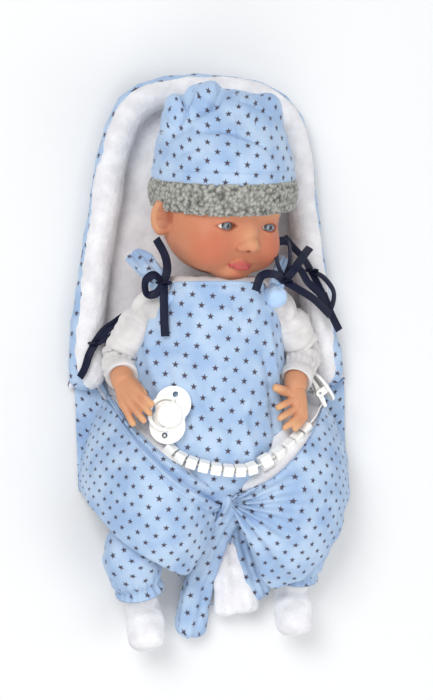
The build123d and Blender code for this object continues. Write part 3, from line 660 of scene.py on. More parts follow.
def face_form(points):
    """Baby face in the head's own frame: full cheeks, small nose, parted lids and closed lips."""
    form = sphere_at(points, (0, 0, 0), SKULL_R - 0.3)
    form = melt(form, ellipsoid_at(points, (0, -26, 6), (48, 42.5, 43.5)), 6)
    form = melt(form, ellipsoid_at(points, (0, -62.5, 28), (17, 9, 11.5)), 7)
    form = melt(form, capsule_at(points, (0, -22, 45), (0, -38, 49.5), 4.5), 8)
    for side in (-1, 1):
        form = melt(form, sphere_at(points, (side * 22.5, -42, 25), 21), 8)
        # brow ridge, then the hollow that the eye sits in
        form = melt(form, capsule_at(points, (side * 8, -13, 47), (side * 27, -14, 40), 5), 7)
        form = carve(form, ellipsoid_at(points, (side * 20, -27, 54), (11, 7, 7)), 5)
        lid = sphere_at(points, (side * EYE_AT[0], EYE_AT[1], EYE_AT[2]), EYE_R + 1.3)
        form = melt(form, lid, 2.2)
        form = melt(form, ellipsoid_at(points, (side * 7.4, -41.8, 48.2), (4.3, 3.7, 4.2)), 2.5)
    form = melt(form, sphere_at(points, (0, -39.8, 51.0), 6.6), 3)
    for side in (-1, 1):
        form = carve(form, capsule_at(points, (side * 2.7, -44.6, 53.5), (side * 3.4, -42.5, 51), 1.3), 1.2)
    # lips: two lobes above, one full roll below, and the line between them
    for side in (-1, 1):
        form = melt(form, capsule_at(points, *UPPER_LIP[side], 1.6), 1.8)
        form = carve(form, sphere_at(points, (side * 12, -57.4, 39.4), 1.3), 2)
    form = melt(form, capsule_at(points, *LOWER_LIP, 1.9), 2.2)
    form = carve(form, capsule_at(points, (0, -46.5, 50), (0, -50.2, 48), 1.0), 2)
    for start, end in zip(LIP_LINE, LIP_LINE[1:]):
        form = carve(form, capsule_at(points, start, end, 0.6), 0.8)
    form = carve(form, capsule_at(points, (-6, -63.4, 42.6), (6, -63.4, 42.6), 1.6), 3)
    for side in (-1, 1):
        ear = ellipsoid_at(points, (side * 51.5, -24, -1), (9.5, 15, 8.5))
        ear = carve(ear, ellipsoid_at(points, (side * 54.5, -23, 8), (5.5, 9.5, 6)), 2)
        form = melt(form, ear, 2.5)
        ball = sphere_at(points, (side * EYE_AT[0], EYE_AT[1], EYE_AT[2]), EYE_R - 0.35)
        form = carve(form, np.maximum(lid_opening(points, side), -ball), 0.7)
    return form


def tint(mesh, name, values):
    """Stores one number per vertex for a material to read."""
    layer = mesh.attributes.new(name, "FLOAT", "POINT")
    layer.data.foreach_set("value", np.clip(values, 0, 1).astype(np.float32))


def falloff(distance, full, gone):
    """1 inside full, easing to 0 at gone."""
    share = np.clip((gone - distance) / (gone - full), 0, 1)
    return share * share * (3 - 2 * share)


def head_skin():
    """Vinyl head with its blush, lip colour, painted shade in its creases and painted highlights kept on the
    mesh.
    """
    maker = bmesh.new()
    bmesh.ops.create_icosphere(maker, subdivisions=7, radius=1.0)
    directions = np.array([vert.co[:] for vert in maker.verts])
    # crowd the points towards the face, where the fine shapes are
    directions += np.array((0, -0.38, 0.52))
    directions /= np.linalg.norm(directions, axis=1)[:, None]
    centre = (0, -14, 4)
    spots = cast(face_form, centre, directions)
    for vert, spot in zip(maker.verts, spots):
        vert.co = HEAD @ Vector(spot)
    bmesh.ops.recalc_face_normals(maker, faces=maker.faces)
    piece = publish(maker, "vinyl_head", SKIN, "head", ("head_shell",))
    x, y, z = np.abs(spots[:, 0]), spots[:, 1], spots[:, 2]
    # 0.36 of the blush colour over the whole head gives it a darker, redder tone than the hands, rising on
    # the cheeks and at the chin
    tint(piece.data, "blush", 0.36 + 0.45 * falloff(np.linalg.norm(spots - (28, -43, 38), axis=1), 2, 26)
         + 0.45 * falloff(np.linalg.norm(spots - (-28, -43, 38), axis=1), 2, 26)
         + 0.3 * falloff(np.linalg.norm(spots - (0, -66, 40), axis=1), 2, 12))
    lips = np.minimum(
        np.minimum(capsule_at(spots, *UPPER_LIP[1], 1.5), capsule_at(spots, *UPPER_LIP[-1], 1.5)),
        capsule_at(spots, *LOWER_LIP, 2.0),
    )
    tint(piece.data, "lip", falloff(lips, 0.0, 1.1) * 0.92)
    eye_ring = np.minimum(np.abs(lid_opening(spots, 1)), np.abs(lid_opening(spots, -1)))
    nostril = np.minimum(capsule_at(spots, (2.7, -44.6, 53), (3.4, -42.5, 51), 1.3),
                         capsule_at(spots, (-2.7, -44.6, 53), (-3.4, -42.5, 51), 1.3))
    bowl = ellipsoid_at(np.abs(spots) * (1, 0, 0) + spots * (0, 1, 1), (54, -23, 6), (5.5, 9.5, 6))
    mouth = np.min([capsule_at(spots, start, end, 0.6) for start, end in zip(LIP_LINE, LIP_LINE[1:])], axis=0)
    # painted shade in the creases: along the lid edges, in the nostrils and ear bowls, and along the closed
    # mouth line
    tint(piece.data, "crease_shade", 0.75 * falloff(eye_ring, 0.4, 1.5) + 0.7 * falloff(nostril, 0.0, 1.0)
         + 0.6 * falloff(bowl, 0.0, 2.5) + 0.5 * falloff(mouth, 0, 1.4))
    # painted highlights: on the nose, in a band across the brows and along the ear rims
    tint(piece.data, "pale", 0.35 * falloff(np.linalg.norm(spots - (0, -34, 55), axis=1), 3, 14)
         + 0.3 * falloff(np.abs(y + 13) + np.maximum(x - 26, 0), 1, 9) * (z > 20)
         + 0.4 * falloff(np.abs(x - 60), 1, 6) * (y < -12))
    return piece


def eyeball(name, side):
    """Painted eye with its gaze frame kept in the UV map."""
    maker = bmesh.new()
    bmesh.ops.create_uvsphere(maker, u_segments=56, v_segments=40, radius=1.0)
    gaze = Matrix.Rotation(math.radians(1), 4, "Y") @ Matrix.Rotation(math.radians(4), 4, "X")
    flat = maker.loops.layers.uv.new("gaze")
    for face in maker.faces:
        for loop in face.loops:
            x, y, z = loop.vert.co
            loop[flat].uv = (x, y) if z > 0 else (2, 2)
    place = HEAD @ Matrix.Translation((side * EYE_AT[0], EYE_AT[1], EYE_AT[2])) @ gaze
    for vert in maker.verts:
        vert.co = place @ (vert.co * EYE_R)
    return publish(maker, name + "_painted", EYE, "head", (name,))


def hat_form(points):
    """Soft cap: round at the brow, squared off above, its corners bunched and folded."""
    form = ellipsoid_at(points, (0, 14, 0), (58, 46, 56))
    form = melt(form, ellipsoid_at(points, (-1, 42, -2), (51, 38, 37)), 12)
    form = melt(form, capsule_at(points, (-35, 59, 2), (32, 59, 0), 14), 9)
    form = melt(form, capsule_at(points, (-43, 44, 12), (-41, 67, 12), 9.5), 4)
    form = melt(form, capsule_at(points, (-30, 62, 14), (-15, 71, 9), 11), 4)
    form = melt(form, capsule_at(points, (-24, 74, 8), (-12, 77, 7), 9.5), 4)
    form = melt(form, capsule_at(points, (33, 58, 0), (35, 67, 1), 10), 6)
    # fold lines running from the bunched corner
    for start, end, depth in (
        ((-46, 46, 24), (-36, 62, 21), 3.4), ((-36, 62, 21), (-28, 86, 12), 4.2),
        ((-58, 36, 16), (-33, 51, 29), 3.0), ((-34, 56, 27), (-12, 66, 24), 2.8),
        ((-12, 66, 23), (-3, 84, 10), 3.8), ((-56, 58, 11), (-44, 50, 21), 2.4),
        ((-30, 50, 34), (4, 44, 41), 1.4), ((4, 44, 41), (26, 34, 42), 1.2),
        ((10, 70, 20), (34, 60, 20), 1.4), ((-54, 24, 28), (-30, 34, 42), 1.3),
    ):
        form = carve(form, capsule_at(points, start, end, depth), 2.6)
    return form


def hat():
    """Star-print cap, cast from its form and crumpled."""
    around, up = 320, 100
    rows = np.linspace(-math.pi, math.pi, around)
    polar = np.linspace(1, 0.002, up) ** 0.9 * math.radians(95)
    turn, tilt = np.meshgrid(rows, polar, indexing="ij")
    directions = np.stack([np.sin(tilt) * np.sin(turn), np.cos(tilt), np.sin(tilt) * np.cos(turn)], axis=-1)
    centre = (0, BAND_HIGH - 2, 0)
    spots = cast(hat_form, centre, directions.reshape(-1, 3), 100, 80).reshape(around, up, 3)
    # the turned hem stands a little proud of the cloth above it, with its stitched line
    height = spots[..., 1] - BAND_HIGH
    outward = directions * (1, 0, 1)
    hem = 0.9 * falloff(height, 8.5, 9.3) - 0.7 * falloff(np.abs(height - 9.4), 0.2, 1.2)
    seam = -0.9 * falloff(np.abs(spots[..., 0] - 4), 0.2, 1.6) * (spots[..., 2] > 0)
    spots = spots + outward * (hem + seam)[..., None]
    spots = crumple(spots, 1.5, 20, 3, np.clip(height / 20, 0.15, 1) * np.clip(1.6 * np.sin(tilt), 0, 1))
    # cut from a front and a back panel, each laid flat and joined at the sides
    flat = spots[..., 0] * (1 + 0.4 * (spots[..., 0] / 58) ** 2)
    side = np.interp(math.pi / 2, rows, np.arange(around))
    half = np.abs(flat[round(side)])
    climb = np.cumsum(np.linalg.norm(np.diff(spots, axis=1, prepend=spots[:, :1]), axis=-1), axis=1)
    laid = np.stack(
        [np.where(np.abs(turn) <= math.pi / 2, flat, np.sign(turn) * 2 * half - flat), climb], axis=-1
    )
    return cloth_grid("star_hat", on_cap(spots), STAR, "head", ("hat",), wrap=True, laid=laid)


def hat_band():
    """Plush cuff: a ring of standing curls."""
    around, section = 560, 84
    turn = np.linspace(-math.pi, math.pi, around)[:, None]
    edge = np.linspace(0, 2 * math.pi, section)[None, :]
    half_high, half_deep = (BAND_HIGH - BAND_LOW) / 2, BAND_T / 2 + 0.5
    level = (BAND_HIGH + BAND_LOW) / 2 + half_high * np.sin(edge) * np.ones_like(turn)
    # the cuff dips towards the brow and lifts over the ears
    level = level + 1.5 * (1 - np.cos(2 * turn)) / 2 - 1.5 * np.cos(turn) * 0.5
    bulge = SKULL_R + half_deep - 1.0 - 3.0 * ((level - 2) / 30) ** 2
    radius = bulge + half_deep * np.cos(edge) * np.ones_like(turn)
    spots = np.stack([radius * np.sin(turn), level, radius * np.cos(turn)], axis=-1)
    curls = []
    for point in spots.reshape(-1, 3):
        near, _ = noise.voronoi(Vector(point) / 3.1)
        drift = noise.noise(Vector(point) / 1.3)
        curls.append(1.15 - near[0] * 1.25 + 0.35 * drift)
    curls = np.clip(np.array(curls).reshape(spots.shape[:2]), -0.3, 1.3)
    out = np.stack(
        [np.cos(edge) * np.sin(turn), np.sin(edge) * np.ones_like(turn), np.cos(edge) * np.cos(turn)],
        axis=-1,
    )
    spots = spots + out * (curls * 1.7)[..., None]
    placed = on_cap(spots)
    placed[-1] = placed[0]
    piece = cloth_grid("plush_cuff", placed, PLUSH, "head", ("hat_band",), wrap=True)
    curl_by_place = {tuple(np.round(p, 2)): c for p, c in zip(placed.reshape(-1, 3), curls.reshape(-1))}
    values = [curl_by_place.get(tuple(np.round(np.array(v.co) / MM, 2)), 0.5) for v in piece.data.vertices]
    # the curl heights that shape the cuff also give the plush its painted shade in the gaps
    tint(piece.data, "curl", np.array(values))
    return piece


head_skin()
for eye_name, eye_side in (("right_eye", -1), ("left_eye", 1)):
    eyeball(eye_name, eye_side)
hat()
hat_band()


# ---------------------------------------------------------------- torso clothes
TORSO = [
    (66, 36, 23, 63), (52, 46, 30, 56), (20, 49, 34, 48), (-30, 51, 36, 46), (-75, 50, 34, 44.5),
    (-98, 40, 26, 43), (-110, 24, 14, 42),
]
TORSO_LEVELS = np.array([row[0] for row in TORSO][::-1], float)
TORSO_STEPS = 61
TORSO_CURVE = smooth_path(np.array([row[1:] for row in TORSO][::-1], float), TORSO_STEPS)
BIB_TOP = 70.0
SEAT = -108.0
RIGHT_ARM = [(-59, 44, 51), (-77, 8, 44), (-78, -7, 66)]
LEFT_ARM = [(59, 44, 51), (75, 14, 42), (64, -10, 68)]


def torso_point(level, angle, proud):
    """Point on the torso's skin; angle 0 faces out of the tummy, +90 degrees to the doll's left."""
    spread = np.interp(np.linspace(0, 1, TORSO_STEPS), np.linspace(0, 1, len(TORSO)), TORSO_LEVELS)
    half_width, half_depth, middle = (np.interp(level, spread, TORSO_CURVE[:, k]) for k in range(3))
    return np.stack([
        (half_width + proud) * np.sin(angle), level, middle + (half_depth + proud) * np.cos(angle),
    ], axis=-1)


def front_share(turn):
    """1 at the middle of the front, 0 from the sides backwards."""
    return np.clip(np.cos(turn), 0, 1)


def romper():
    """Padded romper front: its bib, side seams and soft creases, wrapped right round the back."""
    around, up = 190, 150
    turn, level = np.meshgrid(
        np.linspace(-math.pi, math.pi, around), np.linspace(SEAT, BIB_TOP, up), indexing="ij"
    )
    # the bib narrows under the arms, so the cloth's edge drops away from the front
    drop = np.clip((np.abs(turn) - 1.1) / 0.6, 0, 1) ** 1.3 * 34
    share = (level - SEAT) / (BIB_TOP - SEAT)
    level = SEAT + share * (BIB_TOP - SEAT - drop)
    puff = 4.5 * np.exp(-((level + 5) / 55) ** 2) * np.sin(turn) ** 2
    puff += 10 * np.exp(-(level / 40) ** 2) * np.exp(-((turn + 1.35) / 0.5) ** 2)
    spots = torso_point(level, turn, 4.6 + puff)
    front = front_share(turn)
    spots[..., 2] += 5 * np.clip((level - 52) / 18, 0, 1) * front
    long_folds = np.zeros_like(level)
    for angle, slope, width, height, low, high in (
        (-0.95, -0.006, 0.08, 2.0, -75, 50), (-0.74, -0.007, 0.06, -1.4, -70, 45),
        (-0.4, -0.009, 0.07, 1.5, -70, 20), (0.98, -0.003, 0.07, 1.8, -70, 45),
        (0.78, -0.004, 0.06, -1.3, -80, 30), (0.12, -0.006, 0.07, 1.3, -95, -15),
        (0.48, 0.004, 0.06, 1.2, -90, -10), (-0.1, 0.012, 0.07, 1.1, 20, 66),
        (0.55, -0.008, 0.06, 1.2, 15, 66),
    ):
        ease = np.clip((level - low) / 18, 0, 1) * np.clip((high - level) / 18, 0, 1)
        lean = angle + slope * (level + 10)
        long_folds += 1.3 * height * np.exp(-((turn - lean) / width) ** 2) * ease
    normal = facing(spots)
    outward = normal * np.sign(np.sum(normal * (spots - (0, 0, 45)) * (1, 0, 1), axis=-1))[..., None]
    edge = (1 - share) * (BIB_TOP - SEAT - drop)
    hem = -0.8 * falloff(np.abs(edge - 5.0), 0.2, 1.1) + 0.5 * falloff(edge, 3.5, 5.0)
    soft = wander(spots, 34, 11) * 1.9 + wander(spots, 12, 12) * 0.5
    spots = spots + outward * (long_folds + hem * front + soft * (0.25 + 0.75 * front))[..., None]
    cloth_grid("star_romper", spots, STAR, "torso", ("romper",), wrap=True)


def shirt():
    """White jersey shirt: its yoke shows between bib, collar and sleeves."""
    around, up = 120, 60
    turn, level = np.meshgrid(np.linspace(-math.pi, math.pi, around), np.linspace(-60, 67, up), indexing="ij")
    spots = torso_point(level, turn, 2.4)
    spots = crumple(spots, 1.1, 16, 21, np.clip((level + 10) / 40, 0, 1))
    cloth_grid("jersey_yoke", spots, SHADED_JERSEY, "torso", ("shirt", "cloth_body"), wrap=True)
    around, along = 44, 120
    ring = np.linspace(0, 2 * math.pi, along)
    path = np.stack([36 * np.cos(ring), 70 - 2 * np.sin(ring), 58 + 23 * np.sin(ring)], axis=-1)
    collar = tube(path, 6.4, around, up=(0, 1, 0))
    collar[:, -1] = collar[:, 0]
    collar = crumple(collar, 0.9, 9, 22)
    cloth_grid("rib_collar", collar, SHADED_JERSEY, "torso", wrap=True)


def sleeve(name, joints, body, seed):
    """Jersey sleeve, set into the shoulder and gathered at a turned cuff."""
    shoulder, elbow, wrist = (np.array(joint, float) for joint in joints)
    end = elbow + (wrist - elbow) * 0.97
    path = smooth_path(
        [shoulder + (elbow - shoulder) * -0.12, shoulder + (elbow - shoulder) * 0.4, elbow, end], 90
    )
    share = np.linspace(0, 1, 90)
    radii = np.interp(share, (0, 0.08, 0.2, 0.62, 0.86, 0.9, 1.0), (9, 14.5, 17, 15.6, 12.6, 12.0, 12.4))
    spots = tube(path, radii, 72)
    bend = np.exp(-((share - 0.66) / 0.16) ** 2)
    rings = np.sin(share * 62 + wander(spots, 14, seed) * 2.4) * (0.25 + 0.9 * bend)
    gather = np.clip((share - 0.72) / 0.1, 0, 1) * np.clip((0.93 - share) / 0.06, 0, 1)
    pleats = np.sin(np.linspace(0, 2 * math.pi, 73)[:, None] * 15) * gather * 0.9
    cuff = 0.9 * falloff(np.abs(share - 0.955), 0.03, 0.045)
    push = rings * 0.9 + pleats + cuff + wander(spots, 22, seed + 1) * 1.3
    spots = spots + outward_from(spots, path) * push[..., None]
    # the cuff turns back inside round the wrist
    cloth_grid(name + "_jersey", turned_in(spots, path, 0.8), SHADED_JERSEY, body, (name,), wrap=True)


def lump(maker, rings):
    """A closed round form through (centre, radius) rings given in order."""
    path = np.array([ring[0] for ring in rings], float)
    around, count = 20, 8 * len(rings)
    line = smooth_path(path, count)
    radii = rounded_ends(count, [ring[1] for ring in rings], 0.18)
    spots = tube(line, radii, around, up=(0.3, 0.2, 1))
    grid = bmesh.ops.create_grid(maker, x_segments=around, y_segments=count - 1, size=1.0)["verts"]
    for vert in grid:
        i = round((vert.co.x + 1) / 2 * around)
        j = round((vert.co.y + 1) / 2 * (count - 1))
        vert.co = spots[i, j]
    bmesh.ops.remove_doubles(maker, verts=grid, dist=0.02)


def fused(maker, voxel, smoothing):
    """Runs the overlapping forms of a bmesh, in millimetres, together into one skin."""
    bmesh.ops.holes_fill(maker, edges=[edge for edge in maker.edges if edge.is_boundary], sides=0)
    bmesh.ops.recalc_face_normals(maker, faces=maker.faces)
    mesh = bpy.data.meshes.new("forms")
    maker.to_mesh(mesh)
    maker.free()
    block = bpy.data.objects.new("forms", mesh)
    scene.collection.objects.link(block)
    skin = block.modifiers.new("skin", "REMESH")
    skin.mode = "VOXEL"
    skin.voxel_size = voxel
    soft = block.modifiers.new("soft", "SMOOTH")
    soft.factor = 0.5
    soft.iterations = smoothing
    result = bmesh.new()
    result.from_mesh(
        bpy.data.meshes.new_from_object(block.evaluated_get(bpy.context.evaluated_depsgraph_get()))
    )
    bpy.data.objects.remove(block)
    return result


# knuckle and tip of each finger, thumb first
RIGHT_FINGERS = [
    ((-69, -12, 73), (-60, -22, 78)), ((-67, -18, 84.5), (-55.5, -30, 93)),
    ((-70, -23, 84.5), (-57, -37, 93)), ((-74, -27, 83), (-61.5, -43, 91)),
    ((-78, -29, 80), (-70, -46, 85)),
]
LEFT_FINGERS = [
    ((57, -18, 75), (42, -14, 82)), ((60, -24.5, 76.5), (44.5, -31.5, 82)),
    ((62.5, -31, 77), (46, -40.5, 81.5)), ((66, -36, 76), (50.5, -48.5, 81)),
    ((69, -39, 74.5), (59, -49.5, 81.5)),
]


def hand(name, joints, fingers, body):
    """Vinyl forearm and hand with bent, dimpled fingers, paler tips and painted shade between the fingers."""
    maker = bmesh.new()
    elbow, wrist = np.array(joints[1], float), np.array(joints[2], float)
    knuckles = np.array([start for start, _ in fingers[1:]], float)
    palm = knuckles.mean(axis=0)
    lump(maker, [(elbow + (wrist - elbow) * 0.35, 9.4), (wrist, 9.3), (wrist + (palm - wrist) * 0.35, 9.2)])
    for knuckle in knuckles:
        lump(maker, [(wrist + (knuckle - wrist) * -0.05, 6.6), ((wrist + knuckle) / 2, 6.2), (knuckle, 3.9),
                     (knuckle + (knuckle - wrist) * 0.08, 2.8)])
    thumb_base, thumb_tip = (np.array(p, float) for p in fingers[0])
    lump(maker, [(wrist + (thumb_base - wrist) * 0.3, 6), (thumb_base, 4.6), (thumb_tip, 3.2)])
    for index, (start, end) in enumerate(fingers):
        start, end = np.array(start, float), np.array(end, float)
        arch = np.array((0, 0, 1.6))
        size = 3.05 if index else 3.6
        lump(maker, [
            (start - (end - start) * 0.25, size * 1.15), (start + (end - start) * 0.2 + arch * 0.6, size),
            (start + (end - start) * 0.5 + arch, size * 0.98),
            (start + (end - start) * 0.78 + arch * 0.7, size * 0.9), (end, size * 0.86),
        ])
    skin = fused(maker, 0.65, 4)
    piece = publish(skin, name + "_vinyl", SKIN, body, (name,))
    spots = np.array([vert.co[:] for vert in piece.data.vertices]) / MM
    tips = np.min([np.linalg.norm(spots - np.array(end), axis=1) for _, end in fingers], axis=0)
    tint(piece.data, "pale", 0.7 * falloff(tips, 3, 12))
    # painted shade in the gaps between the fingers
    gaps = np.min([
        capsule_at(spots, (np.array(a[0]) + np.array(b[0])) / 2, (np.array(a[1]) + np.array(b[1])) / 2, 0.5)
        for a, b in zip(fingers[1:], fingers[2:])
    ], axis=0)
    tint(piece.data, "crease_shade", 0.35 * falloff(gaps, 0.5, 3))
    return piece


romper()
shirt()
for side, joints, fingers, seed in (
    ("right", RIGHT_ARM, RIGHT_FINGERS, 31), ("left", LEFT_ARM, LEFT_FINGERS, 41),
):
    unit = side + "_arm_unit"
    sleeve(side + "_sleeve", joints, unit, seed)
    hand(side + "_arm", joints, fingers, unit)


# ---------------------------------------------------------------- legs
RIGHT_LEG = [(-33, -100, 42), (-67, -148, 45), (-55, -200, 26)]
LEFT_LEG = [(33, -100, 42), (71, -138, 44), (69, -190, 24)]


def trouser(name, joints, body, replaced, seed):
    """Star-print trouser leg, gathered at its hem over the bootie."""
    hip, knee, ankle = (np.array(joint, float) for joint in joints)
    hem = knee + (ankle - knee) * 0.64
    path = smooth_path([hip, hip + (knee - hip) * 0.5, knee, hem], 90)
    share = np.linspace(0, 1, 90)
    radii = np.interp(share, (0, 0.08, 0.3, 0.72, 0.88, 0.93, 1.0), (14, 22, 24.4, 23.6, 21.5, 17.5, 20.0))
    spots = tube(path, radii, 110)
    gather = np.exp(-((share - 0.93) / 0.08) ** 2)
    turn = np.linspace(0, 2 * math.pi, 111)[:, None]
    pleats = np.sin(turn * 19 + wander(spots, 20, seed) * 2.5) * gather * 1.1
    folds = np.sin(share * 26 + wander(spots, 26, seed + 1) * 3.5) * 0.8 * (
        0.4 + np.exp(-((share - 0.6) / 0.2) ** 2)
    )
    spots = spots + outward_from(spots, path) * (pleats + folds)[..., None]
    spots = turned_in(spots, path, 0.82)
    spots[..., 2] = np.maximum(spots[..., 2], 6.0)
    cloth_grid(name, spots, STAR, body, replaced, wrap=True)


def bootie(name, joints, body, replaced, seed):
    """Padded fleece bootie with a soft sole seam and a ribbed ankle."""
    knee, ankle = np.array(joints[1], float), np.array(joints[2], float)
    shin = (ankle - knee) / np.linalg.norm(ankle - knee)
    heel = ankle + (0, -6, 6)
    maker = bmesh.new()
    lump(maker, [(ankle - shin * 26, 11.5), (ankle - shin * 12, 13), (ankle, 14.5), (ankle + shin * 5, 13)])
    lump(maker, [
        (heel + (0, 9, -6), 13), (heel, 16.2), (heel + (0, -12, 6), 16), (heel + (0, -22, 11), 13.5),
    ])
    skin = fused(maker, 1.3, 8)
    for vert in skin.verts:
        push = noise.fractal(vert.co / 15 + Vector((seed, 0, 0)), 1.0, 2.0, 2) * 0.9
        sole = (vert.co - Vector(heel)).dot(Vector((0, -0.5, -0.85)))
        push -= 1.2 * math.exp(-((sole - 7) / 1.6) ** 2)
        vert.co += vert.normal * push
        vert.co.z = max(vert.co.z, 5.5)
    piece = publish(skin, name, FLEECE, body, replaced)


for side, joints, seed in (("right", RIGHT_LEG, 51), ("left", LEFT_LEG, 61)):
    unit = side + "_leg_unit"
    trouser(side + "_star_trouser", joints, unit, (side + "_trouser", side + "_leg"), seed)
    bootie(side + "_fleece_bootie", joints, unit, (side + "_bootie",), seed)


# ---------------------------------------------------------------- swaddle
SWADDLE = [
    (-46, 236), (0, 240), (46, 236), (74, 196), (84, 120), (94, 40), (102, -20), (104, -80), (88, -138),
    (50, -172), (34, -190), (12, -196), (-14, -192), (-22, -172), (-62, -138), (-90, -106), (-97, -20),
    (-92, 60), (-78, 190),
]
LINING_TOP, RIM_LEVEL, PRINT_UNDER = 4.4, 2.2, 0.2


def outline_point(share):
    """Point on the swaddle's closed edge."""
    loop = np.array(SWADDLE + [SWADDLE[0]], float)
    steps = 360
    return smooth_path(loop, steps + 1)[np.clip((share * steps).round().astype(int), 0, steps)]


def swaddle_sheet():
    """Printed back of the swaddle, spread flat under the doll, with its fleece lining on top."""
    around, out = 240, 26
    share, reach = np.meshgrid(np.linspace(0, 1, around), np.linspace(0.02, 1, out), indexing="ij")
    edge = outline_point(share)
    middle = np.array((2, 10))
    flat = middle + (edge - middle) * reach[..., None]
    lining = np.dstack([flat, np.full_like(share, LINING_TOP)])
    lining[..., 2] += wander(lining, 30, 71) * 0.5
    under = np.dstack([flat, np.full_like(share, PRINT_UNDER)])[:, ::-1]
    rim = np.dstack([edge[:, -1:] + (edge[:, -1:] - middle) * 0.006, np.full_like(share[:, -1:], RIM_LEVEL)])
    top = np.concatenate([lining[:, :-1] + (0, 0, 0.3), lining[:, -1:]], axis=1)
    cloth_grid("fleece_sheet", top, FLEECE, "torso", ("swaddle_back",))
    below = np.concatenate([lining[:, -2:-1] * (1, 1, 0.9), rim, under], axis=1)
    cloth_grid("star_sheet", below, STAR, "torso", towards=(0, 0, -1))


def swaddle_roll():
    """The sheet's fleece edge rolled up round the head and shoulders, its print showing outside."""
    hand_set = [
        (-98, -16, 17), (-100, 25, 17), (-95, 80, 17), (-86, 140, 17.5), (-77, 190, 18), (-60, 222, 17.5),
        (-25, 235, 17), (20, 235, 17), (56, 224, 17), (74, 194, 18), (80, 140, 18), (86, 90, 19),
        (93, 40, 20), (100, -12, 18),
    ]
    count = 300
    path = smooth_path(hand_set, count)
    share = np.linspace(0, 1, count)
    radii = 12.3 + 0.8 * np.sin(share * 31) * np.sin(share * 9)
    radii = radii * rounded_ends(count, (1, 1), 0.03)
    spots = tube(path, radii, 64)
    spots = crumple(spots, 1.3, 26, 73)
    spots = crumple(spots, 0.45, 4, 74)
    spots[..., 2] = np.maximum(spots[..., 2], 5.0)
    cloth_grid("fleece_roll", spots, FLEECE, "torso", ("swaddle_rim",), wrap=True)
    # the printed face of the same cloth, seen from outside the roll
    outer = smooth_path([
        (x + math.copysign(2.5 + 5 * float(falloff(y, -20, 70)), x), y + (3 if y > 200 else 0), z - 4)
        for x, y, z in hand_set
    ], count)
    cover = tube(outer, 11.4 * rounded_ends(count, (1, 1), 0.02), 64)
    cover = crumple(cover, 1.8, 20, 75)
    cover[..., 2] = np.maximum(cover[..., 2], 2.5)
    cloth_grid("star_roll", cover, STAR, "torso", wrap=True)


FLAP_DOMES = {"right": ((-48, -100, 5), (60, 98, 86)), "left": ((56, -98, 5), (64, 98, 88))}
FLAP_TOPS = {
    "right": [(-112, 14), (-98, 8), (-87, -10), (-74, -40), (-48, -68), (-16, -89), (8, -102)],
    "left": [(12, -102), (40, -88), (68, -62), (90, -32), (104, -14), (119, -4)],
}
FLAP_HEMS = {
    "right": [
        (-108, -100), (-94, -120), (-78, -138), (-48, -157), (-25, -166), (-14, -152), (2, -124), (8, -110)
    ],
    "left": [(14, -112), (20, -133), (31, -156), (47, -178), (76, -168), (96, -146), (112, -112), (120, -80)],
}
FLAP_KNOTS = {"right": (10, -107, 60.0), "left": (11, -108, 60.0)}


def dome_height(side, x, y):
    """Height of the cloth over the bent leg on one side."""
    (cx, cy, base), (rx, ry, rz) = FLAP_DOMES[side]
    return base + rz * np.sqrt(np.clip(1 - ((x - cx) / rx) ** 2 - ((y - cy) / ry) ** 2, 0, 1))


